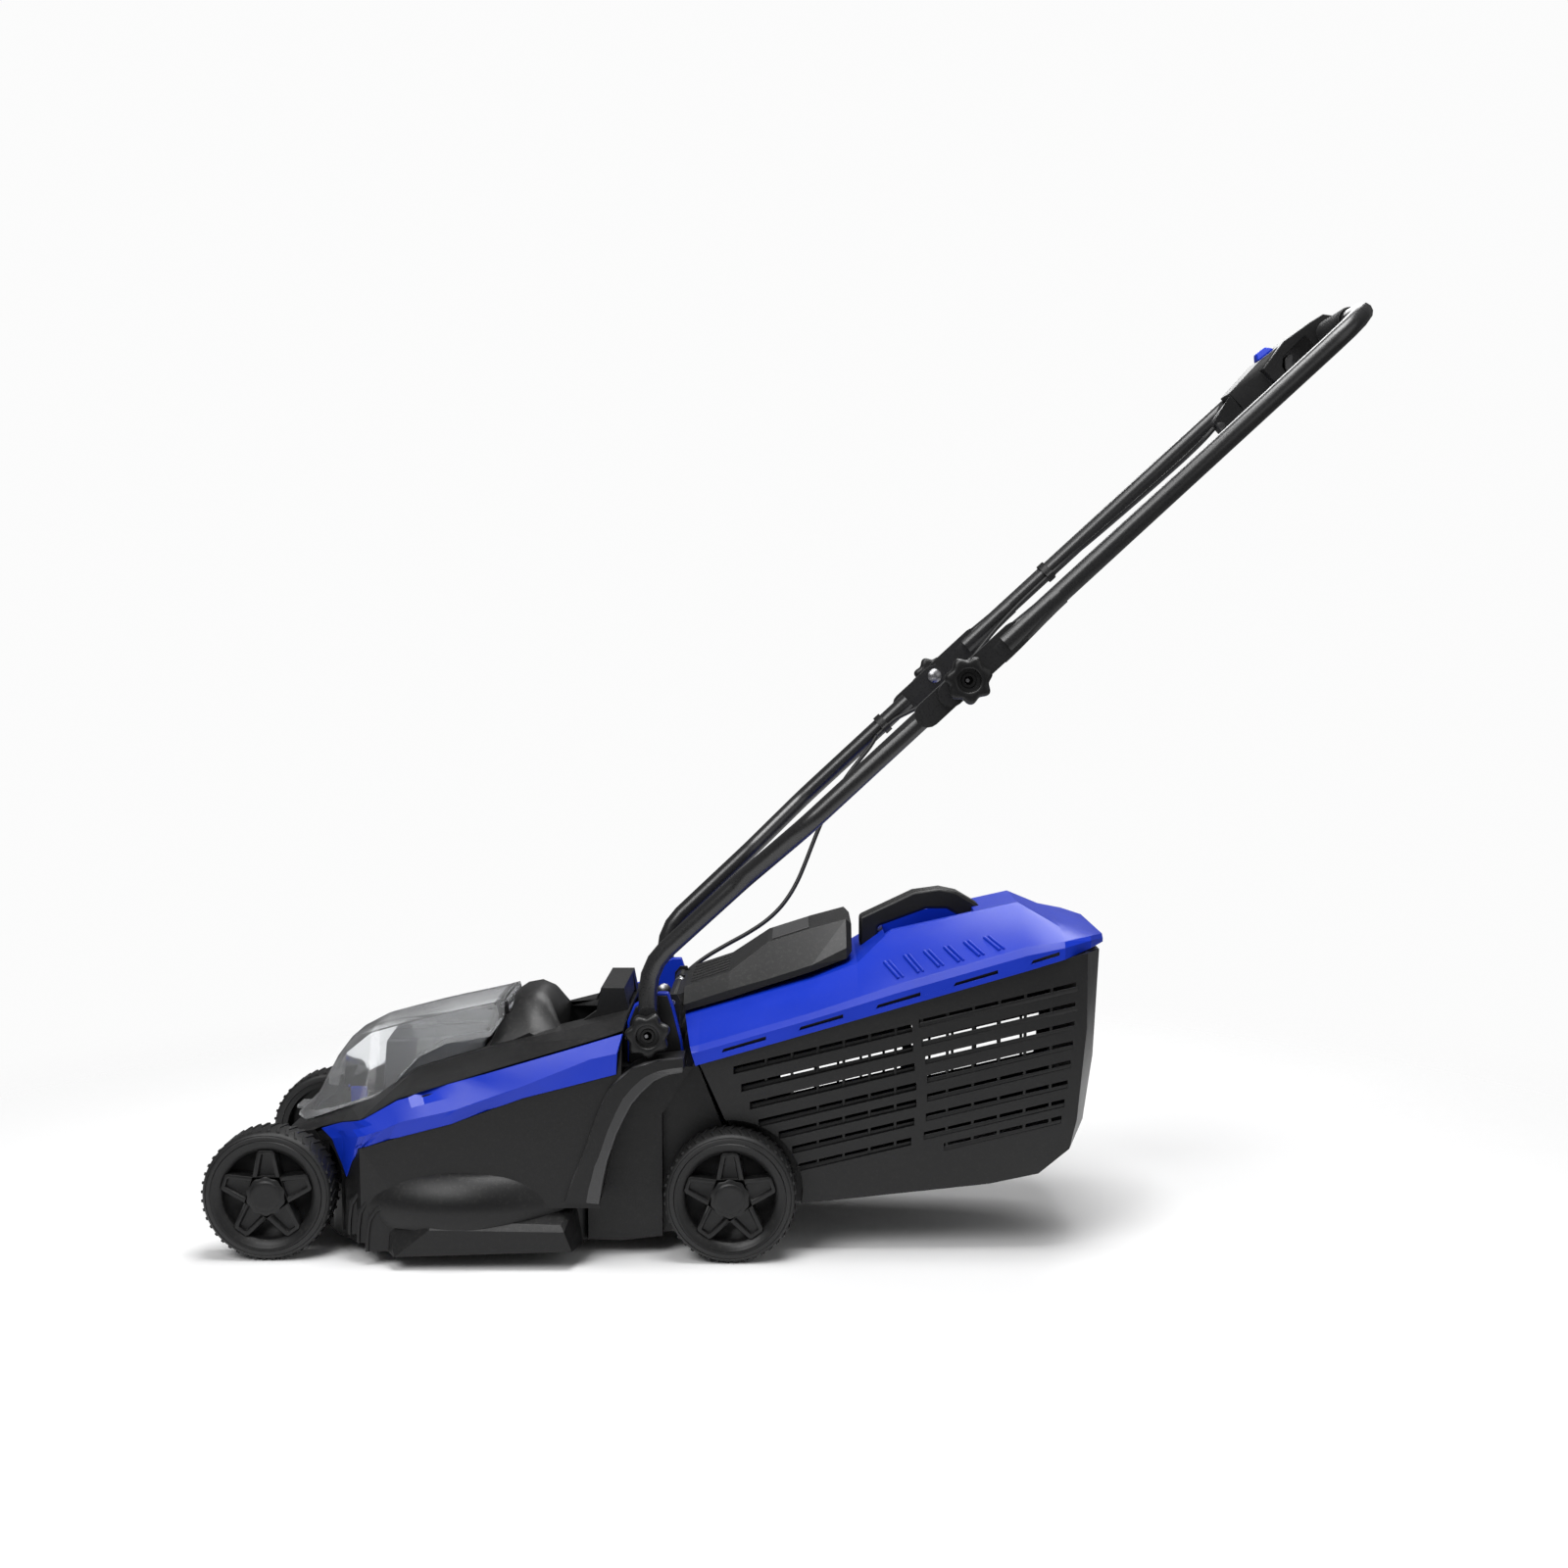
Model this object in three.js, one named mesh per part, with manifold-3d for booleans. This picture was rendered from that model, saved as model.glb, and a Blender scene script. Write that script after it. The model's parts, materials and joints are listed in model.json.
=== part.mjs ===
// Cordless rotary lawn mower with a rear grass catcher. Millimetres, +Z up.
// The front points to -X and the operator stands at +X, so the operator's left is -Y.
// Every piece is drawn with X measured from the front axle and Z from the ground.
// The finished group is then moved so that its origin lies under the middle of the machine.
import * as THREE from 'three';
import { mergeVertices } from 'three/addons/utils/BufferGeometryUtils.js';
import { ConvexGeometry } from 'three/addons/geometries/ConvexGeometry.js';
import Module from 'manifold-3d';

const wasm = await Module();
wasm.setup();

// ---- Driving dimensions ----
const gap = 0.4; // left between pieces that touch
const wall = 4; // moulded plastic wall of the deck
const bladeRadius = 162;
const tipClearance = 8; // blade tip to chamber wall
const chamberTop = 103;
const chamberBottom = 14;
const frontAxleToChamber = 28;
const chamberToRearAxle = 100;
const skirtOverhang = 8; // skirt beyond the chamber wall, each side
const wheelRadius = 68.5;
const wheelWidth = 44;
const frontTrack = 316; // over the outer faces of the front wheels
const rearTrack = 330;
const wheelClearance = 4;
const axleRadius = 5;
const cutHeightTravel = 30;
const tubeRadius = 10;
const tubePlate = 10; // thickness of a tube's flattened end
const lowerTubeY = 130; // lower tube's middle at the deck pivot
const midTubeY = 203; // lower tube's middle at the middle pivot
const deckPivotAhead = 86; // deck pivot ahead of the rear axle
const deckPivotZ = 237;
const tubeTuck = 5; // how far inwards the round tube sits from its flattened end
const midPivotBehind = 235; // middle pivot behind the rear axle
const midPivotZ = 604;
const bracketWidth = 14;
const lowerBendHeight = 69; // vertical stretch of the lower tube above its pivot
const upperLength = 538;
const upperAngle = THREE.MathUtils.degToRad(42.7);
const boltRadius = 4;
const knobRadius = 24;
const knobThickness = 21;
const knobLobes = 7;
const catcherHalfWidth = 142;
const catcherLength = 404;
const catcherWall = 3;
const catcherSlope = 0.29; // rise of the catcher's parting line along X
const flapHalfWidth = 83;
const lidHalfWidth = 89;
const lidWall = 2.5;
const cableRadius = 2.5;

// ---- Derived places ----
const chamberInner = bladeRadius + tipClearance;
const chamberOuter = chamberInner + wall + 3;
const bladeX = frontAxleToChamber + chamberOuter;
const rearX = bladeX + chamberOuter + chamberToRearAxle;
const skirtHalf = chamberOuter + skirtOverhang;
const hoodHalf = chamberOuter - 10;
const frontWheelY = frontTrack / 2 - wheelWidth / 2;
const rearWheelY = rearTrack / 2 - wheelWidth / 2;
const noseHalf = frontWheelY - wheelWidth / 2 - wheelClearance;
const rearArmHalf = rearWheelY - wheelWidth / 2 - wheelClearance;
const deckPivotX = rearX - deckPivotAhead;
const midPivotX = rearX + midPivotBehind;
const upperDir = new THREE.Vector3(Math.cos(upperAngle), 0, Math.sin(upperAngle));
const crossbar = new THREE.Vector3(midPivotX, 0, midPivotZ).addScaledVector(upperDir, upperLength);
const upperTubeY = midTubeY + tubePlate + gap + 1;
const bracketOuter = lowerTubeY - tubeRadius - gap;
const shoulderHalf = bracketOuter + 11.4; // the deck's rear shoulder, which carries the brackets
const catcherX = rearX - 33; // front corner of the catcher's parting line
const catcherZ = 204;

const group = new THREE.Group();

// ---- Solid helpers ----
function solid(geometry) {
  const bare = geometry.clone();
  bare.deleteAttribute('normal');
  bare.deleteAttribute('uv');
  const merged = mergeVertices(bare, 1e-4);
  const mesh = new wasm.Mesh({
    numProp: 3,
    vertProperties: new Float32Array(merged.attributes.position.array),
    triVerts: new Uint32Array(merged.index.array),
  });
  mesh.merge();
  return new wasm.Manifold(mesh);
}

function geometryOf(manifold) {
  const mesh = manifold.getMesh();
  const geometry = new THREE.BufferGeometry();
  geometry.setAttribute('position', new THREE.BufferAttribute(new Float32Array(mesh.vertProperties), 3));
  geometry.setIndex(new THREE.BufferAttribute(new Uint32Array(mesh.triVerts), 1));
  const flat = geometry.toNonIndexed();
  flat.computeVertexNormals();
  return flat;
}

function join(...parts) {
  return parts.slice(1).reduce((sum, part) => sum.add(part), parts[0]);
}

function cut(body, ...tools) {
  return tools.reduce((rest, tool) => rest.subtract(tool), body);
}

// A side outline of [x, z] points, extruded across the machine from y0 to y1.
function sidePrism(points, y0, y1) {
  const shape = new THREE.Shape(points.map(([x, z]) => new THREE.Vector2(x, z)));
  const geometry = new THREE.ExtrudeGeometry(shape, { depth: y1 - y0, bevelEnabled: false });
  geometry.rotateX(Math.PI / 2);
  geometry.translate(0, y1, 0);
  return solid(geometry);
}

// The same outline on both sides, from inner to outer half-width.
function sidePair(points, inner, outer) {
  return sidePrism(points, -outer, -inner).add(sidePrism(points, inner, outer));
}

function hull(points) {
  return solid(new ConvexGeometry(points.map(([x, y, z]) => new THREE.Vector3(x, y, z))));
}

function box(x0, x1, y0, y1, z0, z1) {
  const geometry = new THREE.BoxGeometry(x1 - x0, y1 - y0, z1 - z0);
  geometry.translate((x0 + x1) / 2, (y0 + y1) / 2, (z0 + z1) / 2);
  return solid(geometry);
}

// A rod or bore along Y.
function rodY(x, z, radius, y0, y1, sides = 14) {
  const geometry = new THREE.CylinderGeometry(radius, radius, y1 - y0, sides);
  geometry.translate(x, (y0 + y1) / 2, z);
  return solid(geometry);
}

function rodZ(x, y, radius, z0, z1, sides = 24) {
  const geometry = new THREE.CylinderGeometry(radius, radius, z1 - z0, sides);
  geometry.rotateX(Math.PI / 2);
  geometry.translate(x, y, (z0 + z1) / 2);
  return solid(geometry);
}

// A profile of [radius, height] points turned about the Z axis through (x, y).
function turnedZ(profile, x, y, segments = 40) {
  const geometry = new THREE.LatheGeometry(profile.map(([r, z]) => new THREE.Vector2(r, z)), segments);
  geometry.rotateX(Math.PI / 2);
  geometry.translate(x, y, 0);
  return solid(geometry);
}

// A chain of convex cross-sections; each neighbouring pair is filled.
function loft(sections) {
  const bays = [];
  for (let i = 0; i + 1 < sections.length; i += 1) {
    bays.push(hull([...sections[i], ...sections[i + 1]]));
  }
  return join(...bays);
}

// A cross-section at x: the half outline [y, z] mirrored to both sides.
function section(x, half) {
  return half.flatMap(([y, z]) => [[x, y, z], [x, -y, z]]);
}

// A path through given points, with one ring of the tube at each point.
class PointPath extends THREE.Curve {
  constructor(points) {
    super();
    this.points = points;
  }

  getPoint(t, target = new THREE.Vector3()) {
    const at = t * (this.points.length - 1);
    const i = Math.min(Math.floor(at), this.points.length - 2);
    return target.lerpVectors(this.points[i], this.points[i + 1], at - i);
  }

  getPointAt(u, target) {
    return this.getPoint(u, target);
  }

  getTangentAt(u, target = new THREE.Vector3()) {
    const last = this.points.length - 1;
    const i = Math.round(u * last);
    const before = this.points[Math.max(i - 1, 0)];
    const after = this.points[Math.min(i + 1, last)];
    return target.subVectors(after, before).normalize();
  }
}

// Corner points joined by straight stretches, each inner corner rounded to the given radius.
function roundedPath(corners, radius, arcSteps = 6) {
  const points = [corners[0]];
  for (let i = 1; i + 1 < corners.length; i += 1) {
    const back = new THREE.Vector3().subVectors(corners[i - 1], corners[i]).normalize();
    const ahead = new THREE.Vector3().subVectors(corners[i + 1], corners[i]).normalize();
    const half = back.angleTo(ahead) / 2;
    const reach = radius / Math.tan(half);
    const inward = back.clone().add(ahead).normalize();
    const centre = inward.multiplyScalar(radius / Math.sin(half)).add(corners[i]);
    const from = corners[i].clone().addScaledVector(back, reach).sub(centre);
    const to = corners[i].clone().addScaledVector(ahead, reach).sub(centre);
    const turn = new THREE.Quaternion().setFromUnitVectors(from.clone().normalize(), to.clone().normalize());
    for (let k = 0; k <= arcSteps; k += 1) {
      const part = new THREE.Quaternion().slerp(turn, k / arcSteps);
      points.push(from.clone().applyQuaternion(part).add(centre));
    }
  }
  points.push(corners[corners.length - 1]);
  return points;
}

function tube(points, radius, sides = 12) {
  const shape = new THREE.Shape();
  for (let i = 0; i < sides; i += 1) {
    const a = (i / sides) * 2 * Math.PI;
    const place = [radius * Math.cos(a), radius * Math.sin(a)];
    if (i === 0) shape.moveTo(...place);
    else shape.lineTo(...place);
  }
  const options = { steps: points.length - 1, extrudePath: new PointPath(points) };
  return solid(new THREE.ExtrudeGeometry(shape, options));
}

// A flat bar end in the XZ plane: straight sides and round ends between two points.
function capsulePlate(ax, az, bx, bz, halfWidth, y0, y1, steps = 8) {
  const a = Math.atan2(bz - az, bx - ax);
  const points = [];
  for (let k = 0; k <= steps; k += 1) {
    const t = a - Math.PI / 2 + (k / steps) * Math.PI;
    points.push([bx + halfWidth * Math.cos(t), bz + halfWidth * Math.sin(t)]);
  }
  for (let k = 0; k <= steps; k += 1) {
    const t = a + Math.PI / 2 + (k / steps) * Math.PI;
    points.push([ax + halfWidth * Math.cos(t), az + halfWidth * Math.sin(t)]);
  }
  return sidePrism(points, y0, y1);
}

const finishes = {
  blackPlastic: { color: 0x1c1c1e, roughness: 0.6, metalness: 0 },
  bluePlastic: { color: 0x1430c0, roughness: 0.4, metalness: 0 },
  clearPlastic: { color: 0xe8ecf0, roughness: 0.1, metalness: 0, transparent: true, opacity: 0.35 },
  tubePaint: { color: 0x161618, roughness: 0.35, metalness: 0.4 },
  tyre: { color: 0x202022, roughness: 0.75, metalness: 0 },
  rim: { color: 0x242426, roughness: 0.6, metalness: 0 },
  steel: { color: 0xb8bcc0, roughness: 0.3, metalness: 1 },
  bladeSteel: { color: 0x50545a, roughness: 0.4, metalness: 0.9 },
  motorCan: { color: 0x8a8d90, roughness: 0.4, metalness: 0.8 },
  rubber: { color: 0x18181a, roughness: 0.8, metalness: 0 },
  batteryGrey: { color: 0x2c2e32, roughness: 0.6, metalness: 0 },
};

function place(name, manifold, finish) {
  const mesh = new THREE.Mesh(geometryOf(manifold), new THREE.MeshStandardMaterial(finishes[finish]));
  mesh.name = name;
  group.add(mesh);
}

// ---- Hood: the body over the blade chamber, as cross-sections from nose to rear ----
// Each half outline runs from the lower edge up to the crown; grow moves it outwards.
function hoodSections(grow, dropBottom = 0) {
  const w = hoodHalf + grow;
  const n = noseHalf + grow;
  const b = -dropBottom;
  return [
    section(-18 - grow, [[n - 8, 30 + b], [n - 6, 84 + grow], [n - 30, 92 + grow]]),
    section(10 - grow * 0.5, [[n - 6, 30 + b], [n - 4, 122 + grow], [n - 22, 126 + grow]]),
    section(46, [[n - 4, 26 + b], [n, 128 + grow], [n - 20, 136 + grow]]),
    section(74, [[n + 10, 22 + b], [n + 16, 140 + grow], [lidHalfWidth, 147 + grow]]),
    section(100, [[w - 8, 22 + b], [w - 3, 124 + grow], [w - 9, 150 + grow], [lidHalfWidth, 158 + grow]]),
    section(bladeX - 61, [[w, 60 + b], [w, 136 + grow], [w - 7, 172 + grow], [lidHalfWidth, 188 + grow]]),
    section(bladeX + 26, [[w, 60 + b], [w, 164 + grow], [w - 7, 198 + grow], [92, 214 + grow]]),
    section(rearX - 111, [[w, 60 + b], [w, 203 + grow], [w - 7, 239 + grow], [100, 248 + grow]]),
  ];
}

function hood(grow, dropBottom) {
  return loft(hoodSections(grow, dropBottom));
}

// Outline of the coloured band along the hood's side.
function bandOutline(grow) {
  return [
    [40 - grow, 127],
    [104, 151 + grow],
    [bladeX - 66, 171 + grow],
    [bladeX + 26, 199 + grow],
    [rearX - 110 + grow, 241 + grow],
    [rearX - 116 + grow, 200 - grow],
    [bladeX + 65, 175 - grow],
    [bladeX - 9, 148 - grow],
    [bladeX - 63, 134 - grow],
    [96, 120 - grow],
    [77, 80 - grow],
    [56 - grow, 104],
  ];
}

// Parting line between the deck and its top cover, hidden behind the band.
function partingOutline(top, shift) {
  const line = [
    [rearX + 80, 200 + shift],
    [rearX - 112, 200 + shift],
    [rearX - 112, 220 + shift],
    [bladeX + 26, 182 + shift],
    [bladeX - 61, 152 + shift],
    [92, 128 + shift],
    [40, 112 + shift],
    [-60, 112 + shift],
  ];
  const edge = top ? 500 : -60;
  const closed = [...line, [-60, edge], [rearX + 80, edge]];
  return top ? closed.reverse() : closed;
}

// The curved strip where the wide hood steps in ahead of each rear wheel.
const archInner = [[-170, 66], [-151, 116], [-137, 156], [-123, 186], [-100, 206], [-74, 214], [-47, 217]];
const archOuter = [[-47, 203], [-77, 194], [-100, 170], [-116, 138], [-125, 112], [-134, 66]];

function fromRear(points) {
  return points.map(([x, z]) => [rearX + x, z]);
}

function wheelWells(radiusGrow) {
  const r = wheelRadius + radiusGrow;
  const wells = [];
  for (const [x, y] of [[0, frontWheelY], [rearX, rearWheelY]]) {
    for (const side of [-1, 1]) {
      const inner = y - wheelWidth / 2 - wheelClearance + 1;
      const span = side > 0 ? [inner, inner + 90] : [-inner - 90, -inner];
      wells.push(wheelDisc(x, r, span[0], span[1], wheelRadius));
      wells.push(wheelDisc(x, r, span[0], span[1], wheelRadius - cutHeightTravel));
    }
  }
  return wells;
}

function wheelDisc(x, radius, y0, y1, z) {
  return rodY(x, z, radius, y0, y1, 24);
}

function axleSlots() {
  const r = axleRadius + 1;
  const low = wheelRadius - cutHeightTravel;
  return [0, rearX].map((x) => capsulePlate(x, low, x, wheelRadius, r, -200, 200, 6));
}

function deckShell() {
  const chamberProfile = [
    [22, chamberTop - wall],
    [chamberInner - 24, chamberTop - wall],
    [chamberInner - 7, chamberTop - 11],
    [chamberInner, chamberTop - 26],
    [chamberInner, chamberBottom],
    [chamberOuter, chamberBottom],
    [chamberOuter, chamberTop - 34],
    [chamberOuter - 4, chamberTop - 17],
    [chamberOuter - 12, chamberTop - 6],
    [chamberOuter - 26, chamberTop],
    [22, chamberTop],
    [22, chamberTop - wall],
  ];
  const chamber = turnedZ(chamberProfile, bladeX, 0, 32);
  const sides = hood(0, 0).subtract(hood(-wall, 60)).intersect(sidePrism(partingOutline(false, 0),
    -300, 300));
  const behindArch = fromRear([[90, -60], [90, 203], ...archOuter, [-134, -60]]).reverse();
  const arches = sidePair(behindArch, shoulderHalf, 300);
  const rearOuter = fromRear([[-150, 16], [-115, 15], [-70, 20], [14, 30], [26, 48], [4, 99],
    [-34, 196], [-38, 200],
    [-112, 200], [-150, 150]]);
  const rearVoid = fromRear([[-170, -20], [60, -20], [60, 190], [-118, 190], [-170, 140]]);
  const narrow = sidePrism(rearOuter, -rearArmHalf, rearArmHalf);
  const wide = sidePrism(fromRear([[-150, 16], [-115, 15], [-72, 20], [-72, 150], [-40, 200], [-112, 200],
    [-150, 150]]), -shoulderHalf, shoulderHalf);
  const shelfLine = fromRear([[-150, 180], [-47, 192], [-42, 200], [-150, 200]]);
  const shelf = sidePrism(shelfLine, -shoulderHalf, shoulderHalf);
  const rear = join(narrow, wide, shelf).subtract(sidePrism(rearVoid, -rearArmHalf + wall,
    rearArmHalf - wall));
  const chuteFloor = sidePrism(fromRear([[-146, 22], [-108, 40], [-14, 84], [4, 86], [8, 90],
    [-16, 89], [-110, 45],
    [-148, 27]]), -rearArmHalf + 1, rearArmHalf - 1);
  const arch = fromRear([...archInner, ...archOuter]).reverse();
  const strips = sidePair(arch, shoulderHalf - 3, hoodHalf + 5);
  const swept = join(cut(sides, arches), rear, chuteFloor, strips, ...skirtWings(), ...combs());
  const blank = rodZ(bladeX, 0, chamberInner, -10, chamberTop - 26, 32);
  const throat = chuteThroat();
  return cut(join(cut(swept, blank), chamber), throat, ...wheelWells(wheelClearance),
    ...axleSlots(), bandPocket());
}

// Opening from the chamber into the discharge chute.
function chuteThroat() {
  const half = rearArmHalf - wall - 8;
  return hull([
    [bladeX + 100, half - 6, 46], [bladeX + 100, -half + 6, 46],
    [bladeX + 100, half - 6, 96], [bladeX + 100, -half + 6, 96],
    [rearX - 100, half, 52], [rearX - 100, -half, 52],
    [rearX - 100, half, 186], [rearX - 100, -half, 186],
  ]);
}

function skirtWings() {
  return [-1, 1].map((side) => {
    const out = side * skirtHalf;
    const mid = side * (skirtHalf - 6);
    const inn = side * (chamberOuter - 30);
    return hull([
      [bladeX - 66, out, 14], [bladeX + 116, out, 20], [bladeX + 108, out, 40], [bladeX - 30, out, 42],
      [bladeX - 26, mid, 50], [bladeX + 104, mid, 46], [bladeX - 88, inn, 15], [bladeX + 124, inn, 18],
      [bladeX + 116, inn, 60], [bladeX - 84, inn, 60],
    ]);
  });
}

// Grass combs: three stepped fins at each front corner of the skirt.
function combs() {
  const fins = [];
  for (const side of [-1, 1]) {
    for (let i = 0; i < 3; i += 1) {
      const x = bladeX - 121 + i * 11;
      const y = hoodHalf - 15 + i * 8;
      const outline = [[x, 28 - i * 7], [x + 60, 24 - i * 4], [x + 60, 60], [x + 14, 76 - i * 6],
        [x + 2, 62 - i * 6]];
      const span = side > 0 ? [y - 16, y] : [-y, -y + 16];
      fins.push(sidePrism(outline, span[0], span[1]));
    }
  }
  return fins;
}

function bandPocket() {
  return sidePair(bandOutline(gap), 60, 300).subtract(hood(-wall + 0.6 - gap, 90));
}

function sideBand(side) {
  const outline = bandOutline(0);
  const slab = side > 0 ? sidePrism(outline, 60, 300) : sidePrism(outline, -300, -60);
  const skin = hood(1.5, 90).intersect(slab).subtract(hood(-wall + 0.6, 90));
  return cut(skin, ...wheelWells(wheelClearance));
}

// ---- Top cover, battery bay and lid ----
const bayFront = 30;
const bayRear = 218 - 205; // behind the blade axis
const carryLegs = [[110, 205], [116, 236], [130, 246], [135, 271], [160, 271], [166, 240], [168, 205]];
const lidPivot = { x: bladeX + 28, z: 250 };
const lidPinRadius = 2;
const lidSwingRoom = 10.4; // the lid's rear edge swings inside this radius

function besideBlade(points) {
  return points.map(([x, z]) => [bladeX + x, z]);
}

const rearDeckHalf = bracketOuter - bracketWidth - gap;

function topCover() {
  const above = sidePrism(partingOutline(true, gap), -300, 300);
  const skin = hood(0, 0).subtract(hood(-wall, 60)).intersect(above);
  const cradle = box(bladeX + 84, bladeX + 163, -60, 60, 201, 228);
  const well = box(bladeX + 88, bladeX + 134, -55, 55, 206, 300);
  const underBar = box(bladeX + 90, bladeX + 159, -43, 43, 206, 250);
  const legs = sidePair(besideBlade(carryLegs), 44, 66);
  const bar = sidePrism(besideBlade([[130, 250], [135, 271], [160, 271], [162, 250]]), -60, 60);
  const rearDeck = box(bladeX + 164, rearX - 57, -rearDeckHalf, rearDeckHalf, 200 + gap, 224);
  const lugs = sidePair(fromRear([[-75, 205], [-56, 205], [-55, 262], [-58, 269], [-66, 269], [-72, 262]]),
    flapHalfWidth + 3, flapHalfWidth + 9);
  const body = join(skin, hump(), cradle, legs, bar, rearDeck, lugs);
  const swingRoom = rodY(lidPivot.x, lidPivot.z, lidSwingRoom, -90, 90);
  const open = cut(body, well, underBar, bayVoid(), lidRoom(), swingRoom);
  const lidLugs = sidePair(besideBlade(lidLugOutline), 48, 54);
  const lidPinBore = rodY(lidPivot.x, lidPivot.z, lidPinRadius + gap, -60, 60);
  const flapPinBore = rodY(flapPivot.x, flapPivot.z, 3.4, -100, 100);
  return cut(open.add(lidLugs), lidPinBore, flapPinBore, bandPocket());
}

// Arched hump behind the lid: crown, shoulder and foot points [x, y, z].
function hump() {
  const points = [
    [20, 30, 227], [32, 30, 253], [44, 30, 261], [60, 30, 264], [74, 30, 258], [88, 30, 237],
    [20, 60, 222], [32, 57, 246], [44, 57, 253], [60, 57, 256], [74, 57, 250], [90, 60, 230],
    [12, 84, 200], [14, 84, 205], [60, 84, 226], [98, 84, 208], [98, 84, 200],
  ];
  return hull(points.flatMap(([x, y, z]) => [[bladeX + x, y, z], [bladeX + x, -y, z]]));
}

// Ears of the cover that carry the lid's hinge pin.
const lidLugOutline = [[23.6, 249], [25.5, 253.6], [30.5, 253.6], [32.4, 249], [33.5, 244], [44, 242],
  [44, 230],
  [27, 230], [24, 240]].reverse();

function bayVoid() {
  return box(bayFront, bladeX + bayRear, -79, 79, 90, 400);
}

const trayFloor = 150;

function trayOutline(inset) {
  return [
    [bayFront + 1 + inset, 136],
    [bayFront + 1 + inset, 116 + inset],
    [92 + inset * 0.5, 116 + inset],
    [100 + inset * 0.5, trayFloor + inset],
    [bladeX + bayRear - 1 - inset, trayFloor + inset],
    [bladeX + bayRear - 1 - inset, 206],
    [bladeX - 30, 196],
    [bladeX - 61, 184],
    [100, 156],
  ];
}

// Room for the closed lid, with clearance all round.
function lidRoom() {
  return loft(lidSections(-gap, gap));
}

function batteryTray() {
  const shell = sidePrism(trayOutline(0), -78, 78);
  const room = sidePrism(trayOutline(3).map(([x, z]) => [x, z > trayFloor + 3 ? z + 60 : z]), -75, 75);
  return cut(shell, room, lidRoom());
}

function batteryPack(side) {
  const y0 = 5;
  const y1 = 60;
  const z0 = trayFloor + 3 + gap;
  const ends = [[106, 0], [bladeX + bayRear - 6, 0]];
  const points = ends.flatMap(([x]) => [
    [x, y0, z0], [x, y1 + 6, z0], [x, y1 + 6, z0 + 22], [x, y1 - 6, z0 + 58], [x, y0, z0 + 58],
  ]);
  return hull(points.map(([x, y, z]) => [x, side * y, z]));
}

// Lid: cross-sections from its front lip to its rear edge, then hollowed from below.
function lidSections(inset, drop) {
  const rows = [
    [6, 44, 127, 40, 130, 20, 131],
    [24, lidHalfWidth - 6, 131, 54, 139, 26, 148],
    [47, lidHalfWidth - 3, 139, 56, 172, 30, 190],
    [63, lidHalfWidth - 1, 145, 57, 200, 32, 211],
    [90, lidHalfWidth, 154, 57, 222, 32, 225],
    [112, lidHalfWidth, 162, 57, 228, 32, 231],
    [bladeX - 58, lidHalfWidth, 200, 57, 237, 32, 239],
    [bladeX - 28, lidHalfWidth, 215, 57, 244, 32, 246],
    [bladeX + 19, lidHalfWidth, 223, 57, 254, 32, 256],
    [bladeX + 30, lidHalfWidth - 8, 238, 57, 257, 32, 259],
  ];
  return rows.map(([x, yb, zb, yr, zr, yc, zc], i) => {
    const shift = i === 0 ? inset : i === rows.length - 1 ? -inset : 0;
    return section(x + shift, [[yb - inset, zb - drop], [yr - inset, zr - inset], [yc, zc - inset]]);
  });
}

function batteryLid() {
  const shell = loft(lidSections(0, 0)).subtract(loft(lidSections(lidWall, 30)));
  const knuckle = rodY(lidPivot.x, lidPivot.z, 5, -47, 47, 16);
  const web = box(lidPivot.x - 4, lidPivot.x + 1, -47, 47, lidPivot.z, lidPivot.z + 7);
  const tab = box(-4, 10, -14, 14, 126.5, 130);
  const lugRoom = sidePair([[lidPivot.x - 8, 200], [lidPivot.x + 9, 200], [lidPivot.x + 9, lidPivot.z + 4.5],
    [lidPivot.x - 8, lidPivot.z + 4.5]], 47.4, 54.6);
  const body = join(shell, knuckle, web, tab);
  return cut(body, rodY(lidPivot.x, lidPivot.z, lidPinRadius + gap, -60, 60), lugRoom);
}

// ---- Rear flap ----
const flapPivot = { x: rearX - 63, z: 260 };

function flapSections(inset, drop) {
  const w = flapHalfWidth - inset;
  return [
    section(rearX - 52 + inset, [[w, 249 - drop], [w, 256 - inset], [w - 16, 273 - inset]]),
    section(rearX - 4, [[w, 263 - drop], [w, 272 - inset], [w - 16, 289 - inset]]),
    section(rearX + 38, [[w, 277 - drop], [w, 284 - inset], [w - 33, 319 - inset]]),
    section(rearX + 85, [[w, 292 - drop], [w, 299 - inset], [w - 33, 334 - inset]]),
    section(rearX + 122 - inset, [[w - 6, 305 - drop], [w - 10, 316 - inset], [w - 33, 344 - inset]]),
    section(rearX + 128 - inset, [[w - 14, 312 - drop], [w - 18, 318 - inset], [w - 36, 338 - inset]]),
  ];
}

function dischargeFlap() {
  const outer = loft(flapSections(0, 0));
  const inner = loft(flapSections(3, 20));
  const end = flapHalfWidth - 1;
  const knuckle = rodY(flapPivot.x, flapPivot.z, 6.5, -end, end, 16);
  const web = hull([
    ...section(flapPivot.x, [[end, flapPivot.z - 3], [end, flapPivot.z + 5]]),
    ...section(rearX - 49, [[flapHalfWidth - 5, 254], [flapHalfWidth - 17, 268]]),
  ]);
  const springRoom = rodY(flapPivot.x, flapPivot.z, 8.5, 20, 46, 16);
  const bore = rodY(flapPivot.x, flapPivot.z, 3.4, -100, 100);
  return cut(join(cut(outer, inner), knuckle, web), bore, springRoom);
}

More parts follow.
